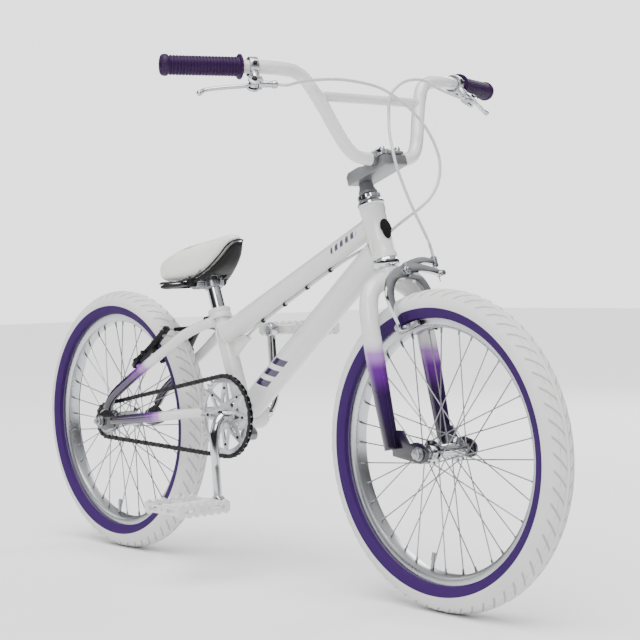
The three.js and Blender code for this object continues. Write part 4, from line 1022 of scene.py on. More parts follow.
def build_headset():
    lower = [(15, 0), (18.4, 0), (19, 0.6), (21, 3), (22.5, 6), (22.5, 11), (21.4, 12.4), (20.5, 16),
        (15, 16)]
    make("lower_cup", Form().lathe(lower, on_steer(-11.5), STEER, 56), "frame", "chrome",
        ["headset_lower_cup"], smooth_limit=30)
    upper = [(15, 0), (20.5, 0), (21.6, 1.6), (22.5, 3), (22.5, 6.4), (21.6, 7.6), (19.5, 10.2),
        (15, 10.5)]
    foot = on_steer(5 + HEAD_LENGTH + 0.35)
    make("upper_cup", Form().lathe(upper, foot, STEER, 56), "frame", "chrome", ["headset_upper_cup"],
        smooth_limit=30)
    nut = Form()
    foot = on_steer(5 + HEAD_LENGTH + 11.5)
    nut.lathe([(14, 0), (18.4, 0), (19, 0.6), (19, 2), (18, 2.6), (14, 2.6)], foot, STEER, 48)

    def hexed(angle, r, s):
        return -(1 - math.cos((angle % (TAU / 8)) - TAU / 16)) * 20 if r > 18 else 0

    nut.lathe([(14, 2.6), (20, 2.6), (20, 8), (18.4, 9.6), (14, 10)], foot, STEER, 64, hexed)
    make("top_locknut", nut, "steering", "chrome", ["headset_locknut"], smooth_limit=24)
    badge = Form()
    outline = [(12 * math.sin(a) * (1 if math.cos(a) > -0.2 else 0.8), 17 * math.cos(a))
        for a in (TAU * k / 28 for k in range(28))]
    badge.plate(outline, 1.8, on_steer(52, HEAD_RADIUS + 0.6), Y_AXIS, STEER)
    inner = [(x * 0.72, y * 0.72) for x, y in outline]
    badge.plate(inner, 2.8, on_steer(52, HEAD_RADIUS + 0.6), Y_AXIS, STEER)
    make("plain_head_badge", badge, "frame", "black_plastic", bevel=0.4)


def build_collar_and_cups():
    collar = Form()
    base = SEAT_TUBE_LENGTH - 20
    profile = [(16.2, 0), (20.4, 0), (21, 0.8), (21, 7), (20, 8), (20, 11), (21, 12), (21, 18.2),
        (20.4, 19), (16.2, 19)]
    collar.lathe(profile, on_seat_tube(base), SEAT_UP, 56)
    for side in (-1, 1):
        collar.block(5.6, 15, 16, on_seat_tube(base + 9.5, 24.5, side * 4.6), Y_AXIS, SEAT_UP)
    make("seat_collar_ring", collar, "frame", "white_paint", ["seat_collar"], bevel=0.6)
    bolt = Form()

    def place(y):
        return on_seat_tube(base + 9.5, 27, y)

    bolt.bar(place(-16), place(16), 3.6)
    bolt.bar(place(-16.6), place(-8), 5.4)
    bolt.hexagon(place(8), place(14), 5.6)
    make("seat_collar_bolt", bolt, "frame", "black_steel", bevel=0.4)
    for name, side in SIDES.items():
        profile = [(13, 22), (25, 22), (25, 34.5), (27.2, 34.5), (27.5, 35.2), (26.4, 37.6), (25, 38),
            (17, 38), (15.6, 36.6), (13, 36.6)]

        def notch(angle, r, y):
            return -1.6 if r > 26 and (angle / TAU * 16) % 1 < 0.25 else 0

        form = Form().lathe([(r, side * y) for r, y in profile], BRACKET, Y_AXIS, 128, notch)
        make(f"{name}_bracket_cup_ring", form, "frame", "chrome", [f"{name}_bracket_cup"],
            smooth_limit=30)


def build_fork():
    crown_foot = on_steer(-12)

    def leg_at(s, y):
        return with_y(crown_foot + Vector((0.236, 0, -1)) * s, y)

    form = Form()
    for side in (-1, 1):
        points = [leg_at(s, side * y) for s,
            y in ((17, 4), (22, 24), (38, 47), (72, 58), (130, 61), (200, 61), (286, 60))]
        path = curve_through(points, 64)
        form.tube(path, lambda t: 15.3 - 3.2 * max(0, t - 0.55) / 0.45, 36)
        outline = [(-60, -8), (-66, 34), (-38, 34), (-24, 14), (-8, 17.6), (6, 15.6), (14, 10), (18, 4),
            (18, -4), (14, -12), (2, -16), (-20, -13)]
        hole = [(5.5 * math.cos(a), 5.5 * math.sin(a)) for a in (TAU * k / 20 for k in range(20))]
        at = Vector((FRONT["x"], side * (FRONT["dropout"] + DROPOUT_PLATE / 2), AXLE_Z))
        form.plate(outline, DROPOUT_PLATE - 0.2, at, X_AXIS, Z_AXIS, [hole])
    form.bar(on_steer(-40), on_steer(-12.2), 17, 19, 48)
    form.bar(on_steer(-20), on_steer(116), 12.6, 12.6, 36)
    make("fork_legs_and_crown", form, "steering", "fork_paint", ["fork"], bevel=0.5)


def build_frame():
    build_main_tubes()
    build_stays()
    build_headset()
    build_collar_and_cups()
    build_fork()


# ---- stem, handlebar, grips, levers ------------------------------------------------------------

BLOCK_FOOT = 140
BAR_U = 56
BAR_W = 18.7
BAR_CENTRE = on_steer(BLOCK_FOOT + BAR_W, BAR_U)
SWEEP = 0.385
SWEEP_START = (190, 150, 2)
GRIP_END = (BAR_HALF, 150, 2 - SWEEP * (BAR_HALF - 190))


def bar_at(y, rise, back=0):
    return with_y(BAR_CENTRE + STEER * rise + Vector((back, 0, 0)), y)


def build_stem():
    stem = Form()
    outline = [(-16, 0), (78, 0), (80, 2), (80, BAR_W - 1), (69.5, BAR_W - 1), (66, 12), (60, 8), (52, 8),
        (46, 12), (42.5, BAR_W - 1),
        (30, BAR_W - 1), (16, 21), (-10, 21), (-16, 15)]
    stem.plate(outline, 50, on_steer(BLOCK_FOOT), AHEAD, STEER)
    flare = [(10.5, 119.6), (15.4, 119.6), (16, 120.6), (16, 123), (14.6, 126), (12.6, 132),
        (11.6, 139.5), (10.5, 139.5)]
    stem.lathe([(r, s) for r, s in flare], HEAD_FOOT, STEER, 48)
    stem.bar(on_steer(30), on_steer(BLOCK_FOOT + 4), 10.8)
    make("stem_block", stem, "steering", "stem_grey", ["quill_stem"], bevel=1.2)

    wedge = Form()
    top = on_steer(BLOCK_FOOT + 20.6)
    wedge.bar(top, top + STEER * 1.6, 8.4)
    wedge.hexagon(top + STEER * 1.2, top + STEER * 3.4, 5.4, 0.4)
    make("stem_wedge_bolt", wedge, "steering", "chrome", bevel=0.3)

    cap = Form()
    arch = [(-22, 0.9), (-12, 0.9)]
    arch += [(11.45 * math.cos(a), 11.45 * math.sin(a))
        for a in (math.pi - 0.08 - k * (math.pi - 0.16) / 14 for k in range(15))]
    arch += [(12, 0.9), (22, 0.9), (22, 7), (18, 11), (10, 15), (-10, 15), (-18, 11), (-22, 7)]
    cap.plate(arch, 47.6, BAR_CENTRE, AHEAD, STEER)
    make("stem_cap_arch", cap, "steering", "chrome", ["stem_cap"], bevel=0.9)
    bolts = Form()
    for u in (-17, 17):
        for y in (-17, 17):
            foot = on_steer(BLOCK_FOOT + BAR_W + 8, BAR_U + u, y)
            bolts.lathe([(0, 0), (4.5, 0), (4.5, 5.6), (3.9, 6.6), (2.3, 6.6), (2.3, 4.6), (0, 4.6)],
                foot, STEER, 24)
    make("stem_cap_bolts", bolts, "steering", "steel", bevel=0.0)


def build_handlebar():
    half = [(58, 0, 0), (80, 22, 0), (112, 104, 0), (136, 146, 0), SWEEP_START, GRIP_END]
    points = [bar_at(y, rise, back) for y, rise, back in reversed(half)]
    points += [bar_at(-y, rise, back) for y, rise, back in half]
    form = Form().tube(bent(points, 34, 10), BAR_RADIUS - 0.15, 32)
    form.bar(bar_at(-108, 106), bar_at(108, 106), CROSSBAR_RADIUS - 0.1, None, 28)
    for side in (-1, 1):
        foot = bar_at(side * 80, 22)
        axis = (bar_at(side * 112, 104) - foot).normalized()
        weld_bead(form, bar_at(0, 106), bar_at(side * 108, 106), CROSSBAR_RADIUS - 0.4, foot, axis,
            BAR_RADIUS - 0.6, 40)
    make("handlebar_tubes", form, "steering", "white_paint", ["handlebar"], smooth_limit=50)
    knurl = Form()
    rings = [bar_at(y / 2, 0) for y in range(-68, 69)]
    knurl.tube([p for p in rings if abs(p.y) < 34], lambda t: 11.2, 32)
    make("handlebar_clamp_area", knurl, "steering", "stem_grey")


def grip_line(side):
    inner = bar_at(side * SWEEP_START[0], SWEEP_START[1], SWEEP_START[2])
    outer = bar_at(side * GRIP_END[0], GRIP_END[1], GRIP_END[2])
    return outer, (outer - inner).normalized()


def build_grips():
    for name, side in SIDES.items():
        outer, along = grip_line(side)
        foot = outer + along * (4 - GRIP_LENGTH)
        profile = [(11.5, 0), (19.2, 0), (20, 0.8), (20, 3.2), (19.2, 4), (15.6, 4.6)]
        s = 7.0
        while s < GRIP_LENGTH - 14:
            profile += [(14.1, s), (15.3, s + 0.7), (15.5, s + 1.9), (15.3, s + 3.1), (14.1, s + 3.8)]
            s += 5.2
        profile += [(14.1, s), (16.8, GRIP_LENGTH - 9), (17.2, GRIP_LENGTH - 6),
            (16.4, GRIP_LENGTH - 1.6), (15, GRIP_LENGTH)]
        profile += [(5, GRIP_LENGTH), (5, GRIP_LENGTH - 3.6), (11.5, GRIP_LENGTH - 3.6)]
        make(f"{name}_grip_sleeve", Form().lathe(profile, foot, along, 48), "steering", "purple_rubber",
            [f"{name}_grip"], smooth_limit=40)


LEVER_DROOP = math.radians(40)


def lever_place(side):
    outer, along = grip_line(side)
    droop = Matrix.Rotation(side * LEVER_DROOP, 3, along)
    forward = droop @ (Z_AXIS.cross(along) * -side).normalized()
    upward = droop @ Z_AXIS
    return lambda out, front, up: outer + along * (out - GRIP_LENGTH - 8) + forward * front + upward * up


def build_levers():
    for name, side in SIDES.items():
        _, along = grip_line(side)
        at = lever_place(side)
        upward = (at(0, 0, 1) - at(0, 0, 0)).normalized()
        bracket = Form()
        ring = [(12.1, 0), (15.4, 0), (16, 0.8), (16, 13.2), (15.4, 14), (12.1, 14)]
        bracket.lathe(ring, at(-14, 0, 0), along, 48)
        bracket.tube([at(-7, 14, -1), at(-6, 24, -3), at(-4, 34, -5)], lambda t: 7 + t, 28)
        for low, high in ((-14, -10), (0, 4)):
            bracket.bar(at(0, 40, low), at(0, 40, high), 10, None, 36)
        bracket.block(14, 12, 18, at(-7, 37, -5), along, upward)
        path = [at(-8, 40, -5), at(-24, 42, -4), at(-38, 44, -3)]
        bracket.tube(path, lambda t: 6 - 1.5 * t, 28)
        bracket.bar(at(-30, 42.9, -3.6), at(-36, 43.7, -3.2), 6.4, 6.4, 20)
        bracket.bar(at(0, 40, -10.5), at(0, 40, 0.5), 2.4, None, 16)
        make(f"{name}_lever_body", bracket, "steering", "alloy", [f"{name}_lever_bracket"], bevel=0.5)
        bolts = Form()
        bolts.hexagon(at(0, 40, 3.8), at(0, 40, 6.4), 4.6, 0.5)
        bolts.bar(at(-7, 9, 12.5), at(-7, 9, 16), 3.6, None, 20)
        bolts.bar(at(-7, 15.4, -2), at(-7, 18.4, -2), 3.4, None, 20)
        make(f"{name}_lever_bolts", bolts, "steering", "black_steel", bevel=0.3)
        blade = Form()
        eye = [(3.1, -8.2), (7.6, -8.2), (8, -7.8), (8, -2.2), (7.6, -1.8), (3.1, -1.8)]
        blade.lathe(eye, at(0, 40, 0), upward, 40)
        path = curve_through([at(4, 41.5, -5), at(18, 46, -6), at(48, 42, -12), at(74, 40, -18),
            at(86, 46, -20)], 32)
        blade.tube(path, lambda t: 4.1 + (0.5 if t > 0.93 else 0), 24, flat=0.8)
        blade.ball(at(86, 46, -20), 4.6, 20)
        make(f"{name}_lever_blade", blade, f"{name}_lever", "alloy", [f"{name}_brake_lever"], bevel=0.3)


def build_cockpit():
    build_stem()
    build_handlebar()
    build_grips()
    build_levers()


# ---- brakes and cables -------------------------------------------------------------------------

CALIPER_S = -28
V_STUD = 31
CALIPER_REACH = 94.5
CALIPER_END = 80
CALIPER_LAYER = 7.5
CALIPER_REAR = 31
CALIPER_FRONT = 39


def on_caliper(rise, u, y):
    return on_steer(CALIPER_S + rise, u, y)


def strip(points, widths):
    """The outline of a strip along a line of (x, y) points, with a width at each."""
    left, right = [], []
    for i, (x, y) in enumerate(points):
        px, py = points[max(0, i - 1)]
        nx, ny = points[min(len(points) - 1, i + 1)]
        length = math.hypot(nx - px, ny - py)
        sx = -(ny - py) / length * widths[i] / 2
        sy = (nx - px) / length * widths[i] / 2
        left.append((x + sx, y + sy))
        right.append((x - sx, y - sy))
    return right + left[::-1]


def rounded(points, widths, steps=24):
    """The same strip along a smooth curve."""
    fine = curve_through([(x, y, 0) for x, y in points], steps)
    last = len(widths) - 1
    sizes = []
    for k in range(steps + 1):
        at = k / steps * last
        i = min(int(at), last - 1)
        sizes.append(widths[i] + (widths[i + 1] - widths[i]) * (at - i))
    return strip([(p.x, p.y) for p in fine], sizes)


def circle(radius, x=0.0, y=0.0, sides=20):
    return [(x + radius * math.cos(TAU * k / sides), y + radius * math.sin(TAU * k / sides))
        for k in range(sides)]


def build_shoe(name, body, node, on_stud, reach, up, along, curve_side):
    face = RIM_HALF_WIDTH + PAD_GAP
    shoe = Form()
    outline = [(-25, -4.2), (-23, -4.25), (0, -4.25), (23, -4.25), (25, -3.6), (25, 3.6), (23, 4.25),
        (-23, 4.25), (-25, 3.6)]
    shoe.plate(outline, 5.4, on_stud(face + 2.7), along, up)
    for k in (-15, -5, 5, 15):
        shoe.plate([(k - 3.6, -4.25), (k + 3.6, -4.25), (k + 3.6, 4.25), (k - 3.6, 4.25)], 1.2,
            on_stud(face + 0.5), along, up)
    make(f"{name}_shoe_rubber", shoe, body, "black_rubber", [node], bevel=0.3)
    holder = Form()
    holder.plate([(x * 1.02, y * 1.02) for x, y in outline], 4, on_stud(face + 7), along, up)
    holder.bar(on_stud(face + 7), on_stud(reach), 2.7, None, 20)
    holder.hexagon(on_stud(reach - 5), on_stud(reach - 0.4), 5.3)
    coat = "alloy" if curve_side else "black_steel"
    make(f"{name}_shoe_holder", holder, body, coat, bevel=0.4)


def build_front_brake():
    bolt = Form()
    bolt.bar(on_caliper(0, 12, 0), on_caliper(0, 50, 0), 3.9)
    bolt.lathe([(3, 19.5), (8.4, 19.5), (9, 20.2), (8, 26), (7.4, 27), (3, 27)], on_caliper(0, 0, 0),
        AHEAD, 40)
    bolt.hexagon(on_caliper(0, 43.4, 0), on_caliper(0, 47.4, 0), 7.4)
    bolt.lathe([(1, 47), (4.6, 47), (4.4, 49.4), (3, 50.4), (1, 50.6)], on_caliper(0, 0, 0), AHEAD, 32)
    make("caliper_centre_bolt", bolt, "steering", "steel", ["front_brake_bolt"], bevel=0.25)
    for name, side in SIDES.items():
        u = CALIPER_REAR if side > 0 else CALIPER_FRONT
        drop = [(side * y, s) for y, s in ((0, 0), (26, -7), (43, -26), (48, -54), (40, -84), (38, -100))]
        lift = ((0, 0), (18, 12), (50, 20), (CALIPER_END, 16)) if side > 0 else ((0, 0), (20, 5), (50, 2),
            (CALIPER_END, -6))
        arm = Form()
        at = on_caliper(0, u, 0)
        arm.plate(rounded(drop, (22, 17, 15, 13, 12, 11)), CALIPER_LAYER, at, Y_AXIS, STEER)
        arm.plate(rounded(list(lift), (18, 13, 10, 8)), CALIPER_LAYER - 0.2, at, Y_AXIS, STEER)
        arm.lathe(
            [(4.8, u - 3.75), (10.4, u - 3.75), (11, u - 3.2), (11, u + 3.2), (10.4, u + 3.75),
            (4.8, u + 3.75)],
            on_caliper(0, 0, 0), AHEAD, 40,
        )
        body = f"front_arm_{name}"
        make(f"front_caliper_arm_{name}", arm, body, "chrome", [f"front_brake_arm_{name}"], bevel=0.9,
            smooth_limit=45)
        fitting = Form()
        if side > 0:
            fitting.bar(on_caliper(8, u, CALIPER_END), on_caliper(20, u, CALIPER_END), 5, None, 24)
            fitting.lathe(
                [(1, 19), (5.6, 19), (5.6, 21), (5.1, 21.4), (5.6, 21.8), (5.6, 23), (5.1, 23.4),
                (5.6, 23.8), (5.6, 25), (4, 27), (1, 27)],
                on_caliper(0, u, CALIPER_END), STEER, 24,
            )
        else:
            fitting.bar(on_caliper(-6, u - 7, CALIPER_END), on_caliper(-6, u + 5, CALIPER_END), 4.4, None,
                24)
            fitting.hexagon(on_caliper(-6, u + 4, CALIPER_END), on_caliper(-6, u + 7.5, CALIPER_END), 5)
            fitting.bar(on_caliper(-18, u - 6, CALIPER_END), on_caliper(14, u - 6, CALIPER_END), 0.8,
                None, 8)
        make(f"front_caliper_fitting_{name}", fitting, body, "steel", bevel=0.2)

        def on_stud(y, u=u, side=side):
            return on_caliper(-CALIPER_REACH, u, side * y)

        build_shoe(f"front_{name}", body, f"front_brake_shoe_{name}", on_stud, 51, STEER, AHEAD, True)


def build_rear_brake():
    for name, side in SIDES.items():
        line = [(side * y, s) for y, s in ((54, -11), (54, 0), (50, 16), (46, 34), (41, 70), (38, 104))]
        hole = circle(5.3, side * 54, 0)
        arm = Form()
        arm.plate(rounded(line, (13, 20, 15, 13, 11, 11)), 8.6, v_place(0, 0, 0), Y_AXIS, V_UP, [hole])
        body = f"rear_arm_{name}"
        make(f"rear_linear_arm_{name}", arm, body, "black_steel", [f"rear_brake_arm_{name}"], bevel=1.0,
            smooth_limit=45)

        def on_stud(y, side=side):
            return v_place(V_STUD, 0, side * y)

        build_shoe(f"rear_{name}", body, f"rear_brake_shoe_{name}", on_stud, 61, V_UP, V_OUT, False)
        if side < 0:
            anchor = Form()
            anchor.hexagon(v_place(88, -7, side * 39.5), v_place(88, -3.4, side * 39.5), 4.5)
            anchor.bar(v_place(88, 3.8, side * 39.5), v_place(88, 7, side * 39.5), 5, None, 28)
            anchor.bar(v_place(98, 0, -46), v_place(98, 0, -15), 0.8, None, 8)
            make("rear_wire_anchor", anchor, body, "steel", bevel=0.2)
    end = v_place(98, 0, 36)
    path = [(42, 27, -10), (28, 29, -5), (12, 26, -1), (2, 17, 0), (0, 9, 0), (0, 0, 0), (0, -8, 0)]
    noodle = Form().tube(curve_through([end + Vector(p) for p in path], 30), 2.55, 16)
    make("rear_brake_noodle_pipe", noodle, "rear_arm_left", "steel", ["rear_brake_noodle"])
    boot = Form()
    steps = 90
    line = spaced([v_place(98, 0, 31), v_place(98, 0, -18)], steps)
    boot.tube(line, lambda t: 5.4 - 1.6 * t - 0.7 * (0.5 + 0.5 * math.cos(t * TAU * 10)), 20)
    make("rear_wire_boot", boot, "rear_arm_left", "black_rubber")


def lever_barrel(side):
    at = lever_place(side)
    return at(-38.6, 44, -3), at(-54, 46, -2)


FRONT_ROUTE = [(304, 150, 850), (304, 110, 863), (304, 70, 859), (303, 42, 842), (305, 30, 822),
    (308, 26, 800), (320, 15, 775),
    (347, -5, 745), (359, -9, 717), (365, -3, 690), (372, 13, 647), (374, 38, 605)]
REAR_ROUTE = [(308, -150, 846), (309, -80, 852), (312, -10, 846), (317, 28, 832), (326, 60, 809),
    (338, 80, 781), (352, 90, 747),
    (361, 90, 716), (365, 80, 686), (366, 60, 661), (356, 41, 642), (338, 31, 628), (312, 27, 612),
    (286, 26, 597), (258, 17, 583)]
REAR_TAIL = [(-96, 22, 412), (-122, 26, 410), (-160, 40, 417)]
CLIPS = (184, 122, 60, -2)


def build_cable(name, points, body, node, steps):
    make(name, Form().tube(curve_through(points, steps), CABLE_RADIUS, 14), body, "cable_white", [node])


def build_cables():
    end, beyond = lever_barrel(1)
    last = [on_caliper(48, CALIPER_REAR + 3, CALIPER_END - 4),
        on_caliper(27.5, CALIPER_REAR, CALIPER_END)]
    build_cable("front_brake_housing", [end, beyond, *FRONT_ROUTE, *last], "steering",
        "front_brake_cable", 150)
    end, beyond = lever_barrel(-1)
    along = [under_top_tube(224, 4), under_top_tube(161, 0), under_top_tube(99, 0), under_top_tube(37, 0),
        under_top_tube(-20, 3),
        under_top_tube(-64, 12)]
    noodle = v_place(98, 0, 36)
    last = [noodle + Vector((56, 22, -16)), noodle + Vector((43.2, 27, -10.6))]
    build_cable("rear_brake_housing", [end, beyond, *REAR_ROUTE, *along, *REAR_TAIL, *last], "frame",
        "rear_brake_cable", 260)
    clips = Form()
    for x in CLIPS:
        centre = under_top_tube(x, 0)
        run = (TOP_FRONT - TOP_REAR).normalized()
        clips.lathe([(2.7, -3), (4, -3), (4, 3), (2.7, 3)], centre, run, 24)
        clips.block(6, 2.2, 5, centre + Vector((0, 0, 3.4)), run, run.cross(Y_AXIS) * -1)
    make("cable_clips", clips, "frame", "black_steel", bevel=0.3)


# ---- drive train -------------------------------------------------------------------------------


def pitch_radius(teeth):
    return CHAIN_PITCH / (2 * math.sin(math.pi / teeth))


def toothed_outline(teeth):
    pitch = pitch_radius(teeth)
    outline = []
    for i in range(teeth):
        for share, lift in ((-0.3, -3.6), (-0.2, -2.6), (-0.13, 0.8), (-0.06, 2.5), (0.06, 2.5),
                (0.13, 0.8), (0.2, -2.6), (0.3, -3.6), (0.5, -4.0)):
            angle = (i + 0.25 + share) / teeth * TAU
            outline.append(((pitch + lift) * math.cos(angle), (pitch + lift) * math.sin(angle)))
    return outline


def build_crank():
    form = Form()
    form.bar(with_y(BRACKET, -57), with_y(BRACKET, 57), 11)
    for side in (-1, 1):
        away = 1 if side < 0 else -1
        stops = ((0, 46), (6, 58), (24, 69), (50, 73), (90, CRANK_ARM_Y), (CRANK_LENGTH - 8, CRANK_ARM_Y))
        path = curve_through([on_crank(away * reach, side * y) for reach, y in stops], 40)
        form.tube(path, lambda t: 10.5 - 2.8 * min(1, t * 1.6), 32)
        eye = on_crank(away * CRANK_LENGTH, 0)
        profile = [(6.8, -7), (12.2, -7), (13, -6), (13, 6), (12.2, 7), (6.8, 7)]
        form.lathe(profile, with_y(eye, side * 74), Y_AXIS, 40)
    form.lathe([(8, -43), (16, -43), (16, -39.4), (14, -38.5), (8, -38.5)], BRACKET, Y_AXIS, 40)
    form.lathe([(8, 38.5), (17, 38.5), (17, 44.2), (16, 45), (8, 45)], BRACKET, Y_AXIS, 6)
    make("one_piece_crank", form, "crank", "chrome", ["crank"], bevel=0.3)


def build_chainring():
    windows = []
    count = 8

    def at(radius, share):
        return (radius * math.cos(share / count * TAU), radius * math.sin(share / count * TAU))

    for i in range(count):
        windows.append([at(60.5, i + s) for s in (0.1, 0.3, 0.5, 0.7, 0.9)]
            + [at(33, i + 0.56), at(33, i + 0.44)])
    spiders = []
    for i in range(count):
        spiders.append([at(25, i + 0.72), at(25, i + 1.28), at(43, i + 1.03), at(43, i + 0.97)][::-1])
    form = Form()
    holes = [circle(11.6, 0, 0, 32), *windows, *spiders]
    form.plate(toothed_outline(RING_TEETH), 3, with_y(BRACKET, CHAIN_LINE), X_AXIS, Z_AXIS, holes)
    make("toothed_chainring", form, "crank", "alloy", ["chainring"], bevel=0.35)
    bolts = Form()
    for i in range(count):
        x, z = at(51, i)
        place = BRACKET + Vector((x, 0, z))
        bolts.bar(with_y(place, CHAIN_LINE - 2.6), with_y(place, CHAIN_LINE + 2.6), 2.6, None, 20)
    make("chainring_bolts", bolts, "crank", "black_steel", bevel=0.2)


def build_freewheel():
    centre = Vector((REAR["x"], 0, AXLE_Z))
    form = Form()
    profile = [(10, -50.5), (15, -50.5), (15.4, -49.6), (16.6, -49.6), (17, -50.5), (23.4, -50.5),
        (24.6, -49), (26, -47.4), (26, -42), (22, -36.5), (10, -36.5)]
    form.lathe(profile, centre, Y_AXIS, 56)
    form.plate(toothed_outline(COG_TEETH), 3, with_y(centre, CHAIN_LINE), X_AXIS, Z_AXIS,
        [circle(18, 0, 0, 28)])
    make("freewheel_and_cog", form, "freewheel", "steel", ["freewheel_cog"], bevel=0.25)


def chain_line():
    """Points along the middle of the chain, one at every pin."""
    big, small = pitch_radius(RING_TEETH), pitch_radius(COG_TEETH)
    rear = Vector((REAR["x"], AXLE_Z))
    ring = Vector((BRACKET.x, BRACKET.z))
    run = ring - rear
    lean = math.acos((big - small) / run.length)
    heading = math.atan2(run.y, run.x)
    line = []
    for centre, radius, start, end in (
        (ring, big, lean - math.pi, math.pi - lean),
        (rear, small, math.pi - lean, math.pi + lean),
    ):
        for i in range(61):
            angle = heading + start + (end - start) * i / 60
            line.append(Vector((centre.x + radius * math.cos(angle), CHAIN_LINE,
                centre.y + radius * math.sin(angle))))
    line.append(line[0])
    length = sum((b - a).length for a, b in zip(line, line[1:]))
    pins = 2 * round(length / CHAIN_PITCH / 2)
    return spaced(line, pins)[:-1]


def build_chain():
    pins = chain_line()
    form = Form()
    count = len(pins)
    for i, start in enumerate(pins):
        end = pins[(i + 1) % count]
        run = (end - start).normalized()
        up = Y_AXIS.cross(run)
        middle = (start + end) / 2
        length = (end - start).length / 2
        outline = []
        for side in (1, -1):
            for k in range(7):
                angle = -math.pi / 2 + math.pi * k / 6
                outline.append((side * (length + 4.1 * math.cos(angle)), side * 4.1 * math.sin(angle)))
            outline.append((0, side * 3.1))
        offset = 3.3 if i % 2 else 2.3
        for side in (-1, 1):
            form.plate(outline, 0.9, with_y(middle, CHAIN_LINE + side * offset), run, up)
        form.bar(with_y(start, CHAIN_LINE - 3.95), with_y(start, CHAIN_LINE + 3.95), 1.8, None, 8)
    make("chain_links", form, "frame", "chain_steel", ["chain"], smooth_limit=30)


def build_pedals():
    for name, side in SIDES.items():
        eye = on_crank(CRANK_LENGTH if side < 0 else -CRANK_LENGTH, 0)

        def at(y, eye=eye, side=side):
            return with_y(eye, side * y)

        spindle = Form()
        spindle.bar(at(66), at(83), 6.1, None, 28)
        spindle.hexagon(at(82.4), at(87), 8.9)
        spindle.bar(at(85), at(PEDAL_OUTER - 6), 4.4, None, 24)
        make(f"{name}_spindle", spindle, "crank", "steel", [f"{name}_pedal_spindle"], bevel=0.25)
        pedal = Form()
        width = PEDAL_OUTER - PEDAL_INNER
        teeth = 7
        top = []
        for i in range(teeth):
            left = -width / 2 + i / teeth * width
            step = width / teeth
            top += [(left, 8.6), (left + step * 0.18, 8.6), (left + step * 0.36, 12.4),
                (left + step * 0.62, 12.4), (left + step * 0.8, 8.6)]
        top.append((width / 2, 8.6))
        outline = top + [(x, -z) for x, z in reversed(top)]
        middle = at((PEDAL_INNER + PEDAL_OUTER) / 2)
        slots = []
        for k in range(3):
            x = (k - 1) * 32
            slots.append([(x - 11, -3.4), (x + 11, -3.4), (x + 11, 3.4), (x - 11, 3.4)])
        reach = PEDAL_LENGTH / 2 - 3.4
        for x in (-reach, reach):
            pedal.plate(outline, 6.6, middle + Vector((x, 0, 0)), Y_AXIS, Z_AXIS, slots)
        for y, thick in ((PEDAL_INNER + 3, 5.6), (PEDAL_OUTER - 3, 5.6),
                ((PEDAL_INNER + PEDAL_OUTER) / 2, 4.6)):
            bridge = [(-48.6, -7.2), (48.6, -7.2), (48.6, 7.2), (-48.6, 7.2)]
            gaps = [[(s * 14, -3.6), (s * 40, -3.6), (s * 40, 3.6), (s * 14, 3.6)][:: 1 if s > 0 else -1]
                for s in (-1, 1)]
            pedal.plate(bridge, thick, at(y), X_AXIS, Z_AXIS, [circle(5.2), *gaps])
        barrel = [(5, PEDAL_INNER), (9, PEDAL_INNER), (9.4, PEDAL_INNER + 1), (8.4, PEDAL_INNER + 50),
            (9.4, PEDAL_OUTER - 1),
            (9, PEDAL_OUTER), (2, PEDAL_OUTER), (2, PEDAL_OUTER - 4), (5, PEDAL_OUTER - 4)]
        pedal.lathe([(r, side * y) for r, y in barrel], eye, Y_AXIS, 36)
        make(f"{name}_pedal_cage", pedal, f"{name}_pedal", "clear_plastic", [f"{name}_pedal"], bevel=0.5)
        reflector = Form()
        for x in (-1, 1):
            reflector.block(1.4, 30, 6.4, middle + Vector((x * (PEDAL_LENGTH / 2 - 2.2), 0, 0)))
        make(f"{name}_pedal_reflectors", reflector, f"{name}_pedal", "white_plastic", bevel=0.3)


def build_drive():
    build_crank()
    build_chainring()
    build_freewheel()
    build_chain()
    build_pedals()


# ---- seatpost and saddle -----------------------------------------------------------------------

SADDLE_X = (-284, -255, -200, -160, -130, -100, -80, -65)
SADDLE_TOP = (556, 578, 595, 603, 608, 616, 619, 611)
SADDLE_SEAM = (529, 526, 529, 535, 550, 577, 600, 606)
SADDLE_UNDER = (519, 515, 520, 526, 541, 556, 573, 598)
SADDLE_HALF = (30, 54, 53, 42, 34, 25, 20, 10)
CLAMP_BOLT = on_seat_tube(256) + Vector((-17, 0, 3))
VOXEL = 0.005  # metres
CLOTH_FRAMES = 20
MOST_SWELLING = 0.005  # metres


def along_saddle(values, x):
    """A smooth value along the saddle."""
    i = 0
    while i < len(SADDLE_X) - 2 and x > SADDLE_X[i + 1]:
        i += 1
    t = min(1, max(0, (x - SADDLE_X[i]) / (SADDLE_X[i + 1] - SADDLE_X[i])))
    return values[i] + (values[i + 1] - values[i]) * t


def eased(values, x):
    near = [along_saddle(values, x + d) for d in (-9, -4.5, 0, 4.5, 9)]
    return (near[0] + 2 * near[1] + 2 * near[2] + 2 * near[3] + near[4]) / 8


def pod(upper, lower, shrink, rings=44, sides=56):
    """A ball drawn out between a lower and an upper line."""
    form = Form()
    middle = (SADDLE_X[0] + SADDLE_X[-1]) / 2
    reach = middle - SADDLE_X[0] - shrink

    def fuller(v):
        return math.copysign(min(1, abs(v) ** 0.66), v)

    loops = []
    for i in range(1, rings):
        angle = math.pi * i / rings
        girth = math.sin(angle)
        x = middle - reach * math.copysign(max(0, 1 - girth**2.2) ** 0.62, math.cos(angle))
        high, low, half = eased(upper, x), eased(lower, x), eased(SADDLE_HALF, x) - shrink
        size = girth**0.35
        loop = []
        for k in range(sides):
            turn = TAU * k / sides
            y = half * fuller(math.cos(turn) * size)
            z = (high + low) / 2 + (high - low) / 2 * fuller(math.sin(turn) * size)
            loop.append(Vector((x, y, z)))
        loops.append(loop)
    return form.skin(loops)


